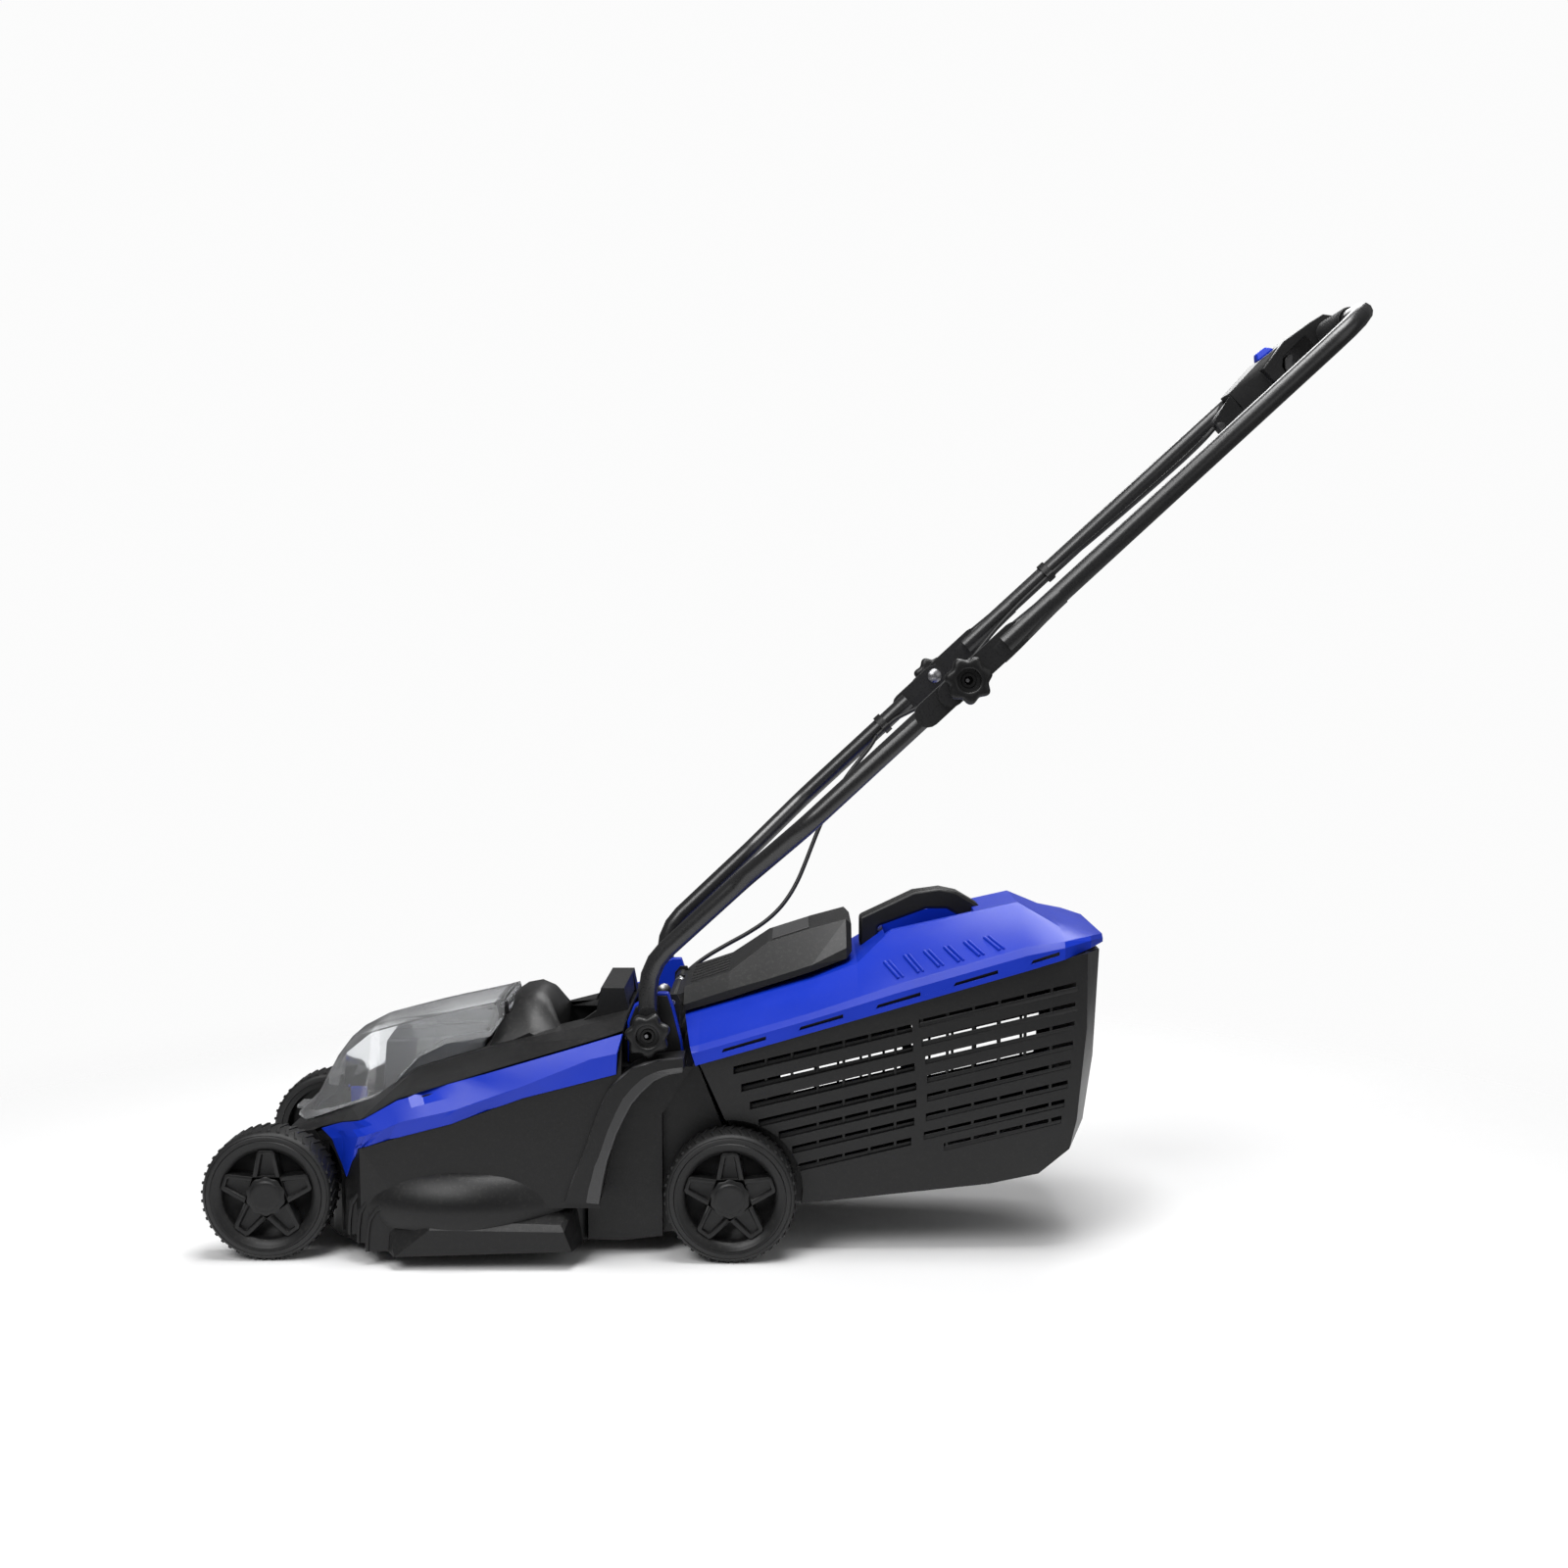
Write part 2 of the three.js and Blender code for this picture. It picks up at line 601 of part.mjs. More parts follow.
function flapSpring() {
  const turns = 3;
  const perTurn = 8;
  const points = [];
  for (let i = 0; i <= turns * perTurn; i += 1) {
    const a = (i / perTurn) * 2 * Math.PI;
    const y = 23 + (i / (turns * perTurn)) * 20;
    points.push(new THREE.Vector3(flapPivot.x + 5.4 * Math.cos(a), y, flapPivot.z + 5.4 * Math.sin(a)));
  }
  return tube(points, 1, 5);
}

// ---- Catcher ----
function partingZ(x) {
  return catcherZ + (x - catcherX) * catcherSlope;
}

function catcherLidSections(inset, drop) {
  const w = catcherHalfWidth - inset;
  const rows = [
    [-24, w, 0, 14, 22, 88, 46, 56, 50],
    [0, w, 0, 14, 20, 88, 46, 56, 50],
    [118, w, 0, 14, 20, 88, 46, 56, 50],
    [166, w, 0, 15, 22, 90, 50, 54, 53],
    [204, w, 0, 16, 24, 96, 52, 50, 69],
    [264, w, 0, 16, 24, 98, 46, 50, 65],
    [340, w, 0, 16, 24, 98, 42, 50, 60],
    [catcherLength - 24, w - 4, 0, 12, 18, 96, 28, 48, 32],
    [catcherLength + 6, w - 26, 0, 8, 12, 84, 12, 44, 16],
    [catcherLength + 24 - inset, w - 62, -4, 0, 4, 60, 2, 40, 4],
  ];
  return rows.map(([dx, yw, low, rim, shoulder, y2, z2, y3, z3]) => {
    const x = catcherX + dx;
    const z = partingZ(x);
    return section(x, [
      [yw, z + low - drop], [yw, z + rim - inset], [yw - 6, z + shoulder - inset],
      [Math.min(y2, yw - 8), z + z2 - inset], [y3, z + z3 - inset],
    ]);
  });
}

function catcherFrontWedge(clear) {
  const x = catcherX + clear;
  return sidePrism([[x - 120, -50], [x + 3, 190], [x - 3, 202], [x - 26, 275], [x - 120, 275]], -300, 300);
}

function catcherLid() {
  const outer = loft(catcherLidSections(0, 0));
  const tub = box(rearX + 161, rearX + 264, -47, 47, 299, 400).intersect(outer);
  const grasp = box(rearX + 164, rearX + 261, -44, 44, 302, 400);
  const shell = outer.subtract(loft(catcherLidSections(catcherWall, 60))).add(tub).subtract(grasp);
  const slots = [];
  for (let i = 0; i < 5; i += 1) {
    const x = catcherX + 24 + i * 80;
    const z = partingZ(x) + 6;
    const length = i === 4 ? 30 : 46;
    slots.push(sidePrism([[x, z], [x + length, z + length * catcherSlope],
      [x + length, z + 4 + length * catcherSlope],
      [x + 2, z + 4]], -300, 300));
  }
  return cut(shell, ...slots, catcherFrontWedge(0), sidePrism(catcherHandleOutline(), -14 - gap, 14 + gap));
}

function catcherHandleOutline() {
  const x = rearX;
  return [
    [x + 138, 309], [x + 138, 341], [x + 197, 369], [x + 226, 373], [x + 245, 369], [x + 267, 356],
    [x + 290, 333], [x + 272, 327], [x + 249, 341], [x + 234, 350], [x + 212, 350], [x + 158, 330],
    [x + 158, 309],
  ].reverse();
}

function catcherHandle() {
  return sidePrism(catcherHandleOutline(), -14, 14);
}

function basketHull(inset) {
  const top = inset > 0 ? 40 : -gap;
  const x0 = catcherX + 1;
  const rear = catcherX + catcherLength;
  const w = catcherHalfWidth - 4 - inset;
  const front = [[x0, partingZ(x0) + top, w], [x0 + 62, 62 + inset, w - 10], [x0 + 84, 50 + inset, w - 14]];
  const back = [
    [rear - inset, partingZ(rear) + top, w - 4], [rear - inset, 241, w - 6], [rear - 9 - inset, 143, w - 10],
    [rear - 16 - inset, 112, w - 12], [rear - 48, 85 + inset, w - 14], [rear - 100, 74 + inset, w - 14],
  ];
  const bulge = [
    [rear + 22 - inset, partingZ(rear) - 6 + Math.min(top, 40), 70], [rear + 16 - inset, 200, 70],
    [rear + 6 - inset, 130, 70], [rear - 6 - inset, 108, 70],
  ];
  return hull([...front, ...back, ...bulge].flatMap(([x, z, y]) => [[x, y, z], [x, -y, z]]));
}

function basketWells(grow) {
  const inner = rearWheelY - wheelWidth / 2 - wheelClearance;
  return [-1, 1].map((side) => {
    const span = side > 0 ? [inner - grow, 300] : [-300, -inner + grow];
    return rodY(rearX, wheelRadius, wheelRadius + 7 + grow, span[0], span[1], 36);
  });
}

function basketSlots() {
  const slots = [];
  const tall = 8.5;
  const left = [[36, 222, 193], [44, 223, 174], [53, 225, 155], [62, 227, 136], [83, 227, 123],
    [97, 225, 107],
    [104, 222, 88]];
  const right = [[229, 392, 242], [232, 392, 222], [236, 391, 203], [238, 390, 183], [238, 388, 163],
    [237, 385, 142],
    [235, 382, 122], [256, 379, 110]];
  for (const [x0, x1, z] of [...left, ...right]) {
    const a = catcherX + x0;
    const b = catcherX + x1;
    const rise = (b - a) * 0.24;
    slots.push(sidePrism([[a, z], [b, z + rise], [b, z + rise + tall], [a, z + tall]], -300, 300));
  }
  return slots;
}

function catcherBasket() {
  const outer = cut(basketHull(0), ...basketWells(0));
  const inner = cut(basketHull(catcherWall), ...basketWells(catcherWall));
  const mouth = hull([[catcherX - 30, -100, 100], [catcherX - 30, 100, 100], [catcherX - 30, -100, 190],
    [catcherX - 30, 100, 190], [catcherX + 70, -100, 96], [catcherX + 70, 100, 96],
    [catcherX + 70, -100, 186],
    [catcherX + 70, 100, 186]]);
  const topTrim = sidePrism([[catcherX - 60, partingZ(catcherX - 60) - gap],
    [rearX + 600, partingZ(rearX + 600) - gap],
    [rearX + 600, 700], [catcherX - 60, 700]], -300, 300);
  return cut(outer, inner, mouth, topTrim, ...basketSlots());
}

// ---- Wheels, axles ----
function starOutline(x, z, outer, inner, points = 5) {
  const list = [];
  for (let i = 0; i < points * 2; i += 1) {
    const a = Math.PI / 2 + (i / (points * 2)) * 2 * Math.PI;
    const r = i % 2 === 0 ? outer : inner;
    list.push([x + r * Math.cos(a), z + r * Math.sin(a)]);
  }
  return list;
}

// A profile of [radius, y] turned about a wheel's own axis; out is +1 or -1.
function turnedY(profile, x, y, z, out, segments = 20) {
  const shape = profile.map(([r, t]) => new THREE.Vector2(r, t * out));
  const geometry = new THREE.LatheGeometry(out > 0 ? shape : shape.reverse(), segments);
  geometry.translate(x, y, z);
  return solid(geometry);
}

function wheel(prefix, x, y, out) {
  const half = wheelWidth / 2;
  const r = wheelRadius;
  const bead = r - 10;
  place(`${prefix}_tyre`, turnedY([[bead, -half + 2], [r - 3, -half + 2], [r, -half + 6], [r, half - 8],
    [r - 3, half - 2], [bead, half - 2], [bead, -half + 2]], x, y, r, out), 'tyre');
  const seat = bead - gap;
  const bore = axleRadius + gap;
  const disc = turnedY([[bore, -half + 3], [14, -half + 3], [14, half - 14], [seat - 6, half - 14],
    [seat - 6, -half + 3], [seat, -half + 3], [seat, half - 1],
    [seat - 9, half - 2], [seat - 14, half - 11], [16, half - 9], [16, half - 5], [bore, half - 5],
    [bore, -half + 3]], x, y, r, out);
  const star = sidePrism(starOutline(x, r, seat - 9.5, 20),
    ...orderY(y + out * (half - 12), y + out * (half - 3)));
  place(`${prefix}_rim`, cut(join(disc, star), rodY(x, r, bore, y - 40, y + 40, 20)), 'rim');
  place(`${prefix}_hub_cap`, turnedY([[0, half - 4], [5, half - 4], [5, half - 2.5], [20, half - 2.5],
    [20, half - 1],
    [16, half + 1], [0, half + 1]], x, y, r, out, 14), 'rim');
}

function orderY(a, b) {
  return a < b ? [a, b] : [b, a];
}

// ---- Cutting gear ----
function blade() {
  const c = bladeX;
  const body = box(c - bladeRadius, c + bladeRadius, -22, 22, 26, 29);
  const bevels = [-1, 1].map((s) => hull([
    [c + s * (bladeRadius + 1), s * 12, 25], [c + s * (bladeRadius + 1), s * 30, 25],
    [c + s * 60, s * 22.5, 25], [c + s * 60, s * 30, 25],
    [c + s * (bladeRadius + 1), s * 14, 30], [c + s * (bladeRadius + 1), s * 30, 24.5],
    [c + s * 60, s * 30, 24.5],
  ]));
  const lifts = [-1, 1].map((s) => hull([
    [c + s * (bladeRadius - 44), -s * 22, 26], [c + s * bladeRadius, -s * 22, 26],
    [c + s * (bladeRadius - 44), -s * 18, 29], [c + s * bladeRadius, -s * 18, 29],
    [c + s * (bladeRadius - 34), -s * 32, 40], [c + s * (bladeRadius - 4), -s * 32, 40],
    [c + s * (bladeRadius - 34), -s * 29, 41], [c + s * (bladeRadius - 4), -s * 29, 41],
  ]));
  return cut(join(body, ...lifts), ...bevels, rodZ(c, 0, 5.4, 20, 40, 20));
}

function bladeCarrier() {
  const hub = turnedZ([[6.4, 29 + gap], [36, 29 + gap], [36, 36], [20, 42], [20, 56], [6.4, 56],
    [6.4, 29 + gap]],
    bladeX, 0, 20);
  const vanes = [];
  for (let i = 0; i < 8; i += 1) {
    const vane = new THREE.BoxGeometry(45, 3, 18);
    vane.translate(37.5, 0, 45);
    vane.rotateZ((i * Math.PI) / 4);
    vane.translate(bladeX, 0, 0);
    vanes.push(solid(vane));
  }
  return join(hub, ...vanes);
}

// ---- Handle ----
function lowerTube(side) {
  const corners = [
    new THREE.Vector3(deckPivotX, side * lowerTubeY, deckPivotZ + 16),
    alongLower(-1, side * lowerTubeY),
    alongLower(-0.69, side * (lowerTubeY + 18)),
    alongLower(-0.49, side * (midTubeY - tubeTuck)),
    alongLower(-0.1, side * (midTubeY - tubeTuck)),
  ];
  const bar = tube(roundedPath(corners, 60, 3), tubeRadius, 12);
  const [a0, a1] = orderY(side * (lowerTubeY - tubeRadius), side * (lowerTubeY + tubeRadius));
  const foot = capsulePlate(deckPivotX, deckPivotZ, deckPivotX, deckPivotZ + 18, tubeRadius, a0, a1);
  const [b0, b1] = orderY(side * (midTubeY - tubePlate / 2), side * (midTubeY + tubePlate / 2));
  const tip = alongLower(-50 / lowerRunLength(), 0);
  const head = capsulePlate(tip.x, tip.z, midPivotX, midPivotZ, 13, b0, b1);
  const bores = [
    rodY(deckPivotX, deckPivotZ, boltRadius + gap, -400, 400),
    rodY(midPivotX, midPivotZ, boltRadius + gap, -400, 400),
  ];
  return cut(join(bar, foot, head), ...bores);
}

function upperHandle() {
  const start = new THREE.Vector3(midPivotX, 0, midPivotZ).addScaledVector(upperDir, 52);
  const corners = [
    start.clone().setY(-upperTubeY), crossbar.clone().setY(-upperTubeY),
    crossbar.clone().setY(upperTubeY), start.clone().setY(upperTubeY),
  ];
  const bar = tube(roundedPath(corners, 55, 4), tubeRadius, 12);
  const plates = [-1, 1].map((side) => {
    const [y0, y1] = orderY(side * (upperTubeY - tubePlate / 2), side * (upperTubeY + tubePlate / 2));
    const fromX = midPivotX - upperDir.x * 20;
    const fromZ = midPivotZ - upperDir.z * 20;
    return capsulePlate(fromX, fromZ, midPivotX + upperDir.x * 66, midPivotZ + upperDir.z * 66, 13, y0, y1);
  });
  return cut(join(bar, ...plates), rodY(midPivotX, midPivotZ, boltRadius + gap, -400, 400));
}

// Fluted knob: lobes round a disc, hollow face, threaded bore.
function knob(x, z, y, out) {
  const outline = [];
  const steps = knobLobes * 4;
  for (let i = 0; i < steps; i += 1) {
    const a = (i / steps) * 2 * Math.PI;
    const r = knobRadius - 2.2 + 2.2 * Math.cos(a * knobLobes);
    outline.push([x + r * Math.cos(a), z + r * Math.sin(a)]);
  }
  const body = sidePrism(outline, ...orderY(y + out * 5, y + out * knobThickness));
  const collar = rodY(x, z, 13, ...orderY(y, y + out * 6));
  const recess = rodY(x, z, 11.5, ...orderY(y + out * (knobThickness - 8), y + out * (knobThickness + 5)));
  const bore = rodY(x, z, boltRadius + gap, y - 60, y + 60);
  return cut(join(body, collar), recess, bore);
}

// Carriage bolt: its dome head bears on the plane y and its shank runs outwards.
function carriageBolt(x, z, y, length, out) {
  const r = boltRadius;
  return turnedY([[0, -4], [5, -3.4], [8, -1.4], [9, 0], [r, 0], [r, length], [0, length]], x, y, z, out, 14);
}

// ---- Controls on the crossbar ----
// A point given along the handle (s), across it (y) and square to it (n), from the crossbar's middle.
function onHandle(s, y, n) {
  return [
    crossbar.x + s * upperDir.x - n * upperDir.z,
    y,
    crossbar.z + s * upperDir.z + n * upperDir.x,
  ];
}

function handlePrism(outline, y0, y1) {
  const points = outline.map(([s, n]) => {
    const [x, , z] = onHandle(s, 0, n);
    return [x, z];
  });
  return sidePrism(points, y0, y1);
}

function handleHull(rows) {
  return hull(rows.flatMap(([s, y, n]) => [onHandle(s, y, n), onHandle(s, -y, n)]));
}

function switchHousing() {
  const nose = handleHull([[-142, 8, -7], [-142, 8, 9], [-112, 22, -11], [-112, 22, 20]]);
  const body = handleHull([[-112, 24, -13], [-112, 20, 22], [-66, 34, -15], [-66, 28, 26],
    [-30, 40, 22], [-30, 44, 5]]);
  const loopOutline = [[-74, -15], [-74, 18], [-40, 25], [-6, 21], [10, 18], [20, 6], [20, -8],
    [8, -17], [-40, -17]];
  const loop = handlePrism(loopOutline, -46, 46);
  const windowOutline = [[-60, -8], [-58, 6], [-50, 13], [-18, 14], [-18, -10], [-30, -13], [-52, -13]];
  const window = handlePrism(windowOutline, -60, 60);
  const barBore = rodY(crossbar.x, crossbar.z, tubeRadius + gap, -60, 60, 20);
  const buttonBore = handlePrism([[-64, 14], [-64, 40], [-40, 40], [-40, 14]], -10, 10);
  return cut(join(nose, body, loop), window, barBore, buttonBore);
}

function startLever() {
  const outline = [[-57, -9], [-56, 2], [-50, 10], [-42, 11], [-41, 6], [-46, 2], [-49, -4],
    [-49, -10], [-53, -11]];
  return handlePrism(outline.reverse(), -43, 43);
}

function lockButton() {
  return handleHull([[-62, 8.5, 18], [-62, 8.5, 27], [-42, 8.5, 18], [-42, 8.5, 26], [-58, 6, 33],
    [-46, 6, 32]]);
}

// ---- Fixings, brackets, drive and small pieces ----
const tubeOuterFace = lowerTubeY + tubeRadius + gap;
const upperOuterFace = upperTubeY + tubePlate / 2 + gap;

function handleBracket(side) {
  const outline = fromRear([[-109, 201], [-109, 245], [-102, 262], [-92, 268], [-76, 275], [-66, 275],
    [-60, 258],
    [-52, 225], [-49, 201]]).reverse();
  const plate = sidePrism(outline, ...orderY(side * (bracketOuter - bracketWidth), side * bracketOuter));
  return cut(plate, rodY(deckPivotX, deckPivotZ, boltRadius + gap, -400, 400));
}

// A rod along any direction, centred on a point.
function rodAlong(centre, dir, radius, length, sides = 16) {
  const geometry = new THREE.CylinderGeometry(radius, radius, length, sides);
  geometry.applyQuaternion(new THREE.Quaternion().setFromUnitVectors(new THREE.Vector3(0, 1, 0), dir));
  geometry.translate(centre.x, centre.y, centre.z);
  return solid(geometry);
}

// Clip that holds the lead beside a tube.
function leadClip(tubeCentre, leadCentre, dir) {
  const width = 9;
  const body = join(rodAlong(tubeCentre, dir, tubeRadius + gap + 2, width, 16),
    rodAlong(leadCentre, dir, cableRadius + gap + 2, width, 10));
  return cut(body, rodAlong(tubeCentre, dir, tubeRadius + gap, width * 3, 16),
    rodAlong(leadCentre, dir, cableRadius + gap, width * 3, 10));
}

function motorHousing() {
  return turnedZ([[0, 122], [6.6, 122], [6.6, chamberTop + gap], [54, chamberTop + gap], [54, chamberTop + 4],
    [46, chamberTop + 7], [46, 140], [40, 147], [0, 147]], bladeX, 0, 20);
}

function bladeBolt() {
  const head = rodZ(bladeX, 0, 11, 16, 23, 6);
  const washer = rodZ(bladeX, 0, 15, 22.5, 26 - gap, 20);
  return join(head, washer, rodZ(bladeX, 0, 5, 25, 46, 16));
}

function motorShaft() {
  return rodZ(bladeX, 0, 6, 29 + gap, 120, 20).subtract(rodZ(bladeX, 0, 5 + gap, 20, 48, 16));
}

function safetyKey() {
  const x = 64;
  return join(rodZ(x, 0, 7, 119 + gap, 127, 16), box(x - 9, x + 9, -2, 2, 126, 144));
}

function leadGland(x, y) {
  return turnedZ([[0, 224 + gap], [5.2, 224 + gap], [5.2, 228], [3.6, 242], [0, 242]], x, y, 14);
}

function axle(x, wheelY) {
  const end = wheelY + wheelWidth / 2 - 5.4;
  return rodY(x, wheelRadius, axleRadius, -end, end, 16);
}

function grip(side) {
  const [y0, y1] = orderY(side * 48, side * 128);
  const sleeve = rodY(crossbar.x, crossbar.z, tubeRadius + 2.6, y0, y1, 18);
  return sleeve.subtract(rodY(crossbar.x, crossbar.z, tubeRadius + gap, y0 - 5, y1 + 5, 18));
}

// ---- Lead from the switch to the deck ----
// Hand-picked route: from the switch across to the right tube, along it past the middle pivot, then
// hanging from the lower clip down to the gland beside the flap.
const leadOffset = (tubeRadius + cableRadius + 0.5) / 13; // lead's distance from a tube's middle, over 13 mm
const glandAhead = 66;
const glandY = 97.8;

// Rows of [along the tube, inwards from it, below it], beside a tube whose middle is at y.
function besideTube(rows, y) {
  return rows.map(([s, inwards, below]) => [s, y - inwards * leadOffset, -below * leadOffset]);
}

const leadOnUpper = [
  [-143, 0, 4], [-160, 4, 2], [-184, 24, 0], [-212, 62, -2], [-242, 108, -4], [-274, 152, -5.5],
  ...besideTube([[-302, 30.4, 6], [-324, 17.4, 5.4], [-340, 12.2, 5], [-354, 12, 5], [-368, 12, 5],
  [-404, 12.2, 5.5],
    [-440, 13.9, 8], [-472, 18.4, 12], [-498, 25.4, 16], [-518, 31.4, 19]], upperTubeY),
];
const leadOnLower = besideTube([
  [18.5, 16.5, 21], [0, 17.5, 21], [-24, 16.5, 18.5], [-50, 14, 11], [-68, 12.1, 6], [-78, 12, 5],
  [-92, 12, 5],
  [-99, 12.4, 5.2],
], midTubeY - tubeTuck);
// Rows of [behind the rear axle, y, z].
const leadHanging = [
  [156, 181.5, 518], [142, 176, 501], [128, 170, 483], [116, 164, 464], [105, 158, 444], [95, 152, 423],
  [86, 146, 401], [78, 140, 381], [70, 135, 363], [60, 129, 346], [48, 124, 331], [32, 118, 317],
  [11, 111, 304], [-14, 104, 291], [-38, 99.5, 277], [-57, glandY, 262], [-64.5, glandY, 251],
  [-glandAhead, glandY, 243.6],
];

function handlePoints(list) {
  return list.map(([s, y, n]) => new THREE.Vector3(...onHandle(s, y, n)));
}

function smooth(points, steps) {
  return new THREE.CatmullRomCurve3(points, false, 'centripetal').getSpacedPoints(steps);
}

function lowerRunLength() {
  return Math.hypot(midPivotX - deckPivotX, midPivotZ - deckPivotZ - lowerBendHeight);
}

// A point in the lower tubes' side view: part 0 is the middle pivot, -1 the corner above the deck.
function alongLower(part, y) {
  return new THREE.Vector3(midPivotX, y, midPivotZ).addScaledVector(lowerRun(), part * lowerRunLength());
}

// Direction of the lower tubes in side view.
function lowerRun() {
  return new THREE.Vector3(midPivotX - deckPivotX, 0, midPivotZ - deckPivotZ - lowerBendHeight).normalize();
}

function lowerHandlePoints(list) {
  const dir = lowerRun();
  const across = new THREE.Vector3(-dir.z, 0, dir.x);
  const pivot = new THREE.Vector3(midPivotX, 0, midPivotZ);
  return list.map(([s, y, n]) => pivot.clone().addScaledVector(dir, s).addScaledVector(across, n).setY(y));
}

place('deck_shell', deckShell(), 'blackPlastic');
place('top_cover', topCover(), 'blackPlastic');
place('side_band_left', sideBand(-1), 'bluePlastic');
place('side_band_right', sideBand(1), 'bluePlastic');
place('battery_tray', batteryTray(), 'blackPlastic');
place('battery_pack_left', batteryPack(-1), 'batteryGrey');
place('battery_pack_right', batteryPack(1), 'batteryGrey');
place('battery_lid', batteryLid(), 'clearPlastic');
place('discharge_flap', dischargeFlap(), 'blackPlastic');
place('flap_spring', flapSpring(), 'steel');
place('catcher_lid', catcherLid(), 'bluePlastic');
place('catcher_basket', catcherBasket(), 'blackPlastic');
place('catcher_handle', catcherHandle(), 'blackPlastic');
for (const [prefix, x, y] of [['front', 0, frontWheelY], ['rear', rearX, rearWheelY]]) {
  wheel(`${prefix}_wheel_left`, x, -y, -1);
  wheel(`${prefix}_wheel_right`, x, y, 1);
}
place('blade', blade(), 'bladeSteel');
place('blade_carrier', bladeCarrier(), 'blackPlastic');
place('lower_tube_left', lowerTube(-1), 'tubePaint');
place('lower_tube_right', lowerTube(1), 'tubePaint');
place('upper_handle', upperHandle(), 'tubePaint');
place('switch_housing', switchHousing(), 'blackPlastic');
place('start_lever', startLever(), 'blackPlastic');
place('lock_button', lockButton(), 'bluePlastic');
place('lead_upper', tube(smooth(handlePoints(leadOnUpper), 28), cableRadius, 8), 'rubber');
place('lead_lower', tube(smooth(lowerHandlePoints(leadOnLower), 10), cableRadius, 8), 'rubber');
const hangFrom = lowerHandlePoints(besideTube([[-100.6, 12.6, 5.2]], midTubeY - tubeTuck));
const hangPoints = leadHanging.map(([x, y, z]) => new THREE.Vector3(rearX + x, y, z));
place('lead_hanging', tube(smooth([...hangFrom, ...hangPoints], 26), cableRadius, 8), 'rubber');

place('motor_housing', motorHousing(), 'motorCan');
place('motor_shaft', motorShaft(), 'steel');
place('blade_bolt', bladeBolt(), 'steel');
place('controller_box', box(bladeX + 58, bladeX + 118, -44, 44, chamberTop + gap, 150), 'batteryGrey');
place('safety_key', safetyKey(), 'bluePlastic');
place('lead_gland', leadGland(rearX - glandAhead, glandY), 'rubber');
place('lid_hinge_pin', rodY(lidPivot.x, lidPivot.z, lidPinRadius, -53, 53, 14), 'steel');
place('flap_hinge_pin', rodY(flapPivot.x, flapPivot.z, 3, -flapHalfWidth - 9, flapHalfWidth + 9, 14),
  'steel');
place('front_axle', axle(0, frontWheelY), 'steel');
place('rear_axle', axle(rearX, rearWheelY), 'steel');
for (const [hand, side] of [['left', -1], ['right', 1]]) {
  const lowerHead = side * (bracketOuter - bracketWidth - gap);
  const midHead = side * (midTubeY - tubePlate / 2 - gap);
  place(`handle_bracket_${hand}`, handleBracket(side), 'bluePlastic');
  place(`lower_bolt_${hand}`, carriageBolt(deckPivotX, deckPivotZ, lowerHead, 51, side), 'steel');
  place(`mid_bolt_${hand}`, carriageBolt(midPivotX, midPivotZ, midHead, 37, side), 'steel');
  place(`lower_knob_${hand}`, knob(deckPivotX, deckPivotZ, side * tubeOuterFace, side), 'blackPlastic');
  place(`mid_knob_${hand}`, knob(midPivotX, midPivotZ, side * upperOuterFace, side), 'blackPlastic');
  place(`grip_${hand}`, grip(side), 'rubber');
}
const upperClipAt = handlePoints([[-354, upperTubeY, 0], ...besideTube([[-354, 12, 5]], upperTubeY)]);
place('lead_clip_upper', leadClip(...upperClipAt, upperDir), 'blackPlastic');
const lowerTubeAside = midTubeY - tubeTuck;
const lowerClipAt = lowerHandlePoints([[-85, lowerTubeAside, 0],
  ...besideTube([[-85, 12, 5]], lowerTubeAside)]);
place('lead_clip_lower', leadClip(...lowerClipAt, lowerRun()), 'blackPlastic');

// Origin under the middle of the machine, on the ground.
const bounds = new THREE.Box3().setFromObject(group);
const middle = bounds.getCenter(new THREE.Vector3());
group.position.set(-middle.x, -middle.y, -bounds.min.z);
group.updateMatrixWorld(true);

export default group;
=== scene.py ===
import json
import math
import bmesh
import bpy
from mathutils import Matrix, Vector
from mathutils.bvhtree import BVHTree


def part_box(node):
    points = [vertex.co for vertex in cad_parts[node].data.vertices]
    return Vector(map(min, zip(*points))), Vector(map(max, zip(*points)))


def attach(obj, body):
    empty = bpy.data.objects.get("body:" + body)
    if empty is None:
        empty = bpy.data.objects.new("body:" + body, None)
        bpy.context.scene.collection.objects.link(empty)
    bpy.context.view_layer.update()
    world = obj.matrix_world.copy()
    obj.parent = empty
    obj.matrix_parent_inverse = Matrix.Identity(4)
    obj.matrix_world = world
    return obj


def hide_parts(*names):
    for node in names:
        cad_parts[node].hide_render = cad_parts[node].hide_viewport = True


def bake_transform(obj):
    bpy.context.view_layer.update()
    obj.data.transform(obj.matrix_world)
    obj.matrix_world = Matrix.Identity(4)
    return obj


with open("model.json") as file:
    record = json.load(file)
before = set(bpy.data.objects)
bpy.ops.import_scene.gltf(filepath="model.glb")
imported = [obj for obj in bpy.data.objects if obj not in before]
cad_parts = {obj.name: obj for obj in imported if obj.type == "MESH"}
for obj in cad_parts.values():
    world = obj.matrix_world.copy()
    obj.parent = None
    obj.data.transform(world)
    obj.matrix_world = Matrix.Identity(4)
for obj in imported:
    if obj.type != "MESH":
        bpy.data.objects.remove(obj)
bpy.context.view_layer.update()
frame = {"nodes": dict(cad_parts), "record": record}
nodes = frame["nodes"]
bodyOf = {}
for bodyName, members in frame["record"]["behaviour"]["bodies"].items():
    for member in members:
        bodyOf[member] = bodyName

mm = 0.001
sides = (("left", -1), ("right", 1))  # each side's name and its direction along Y


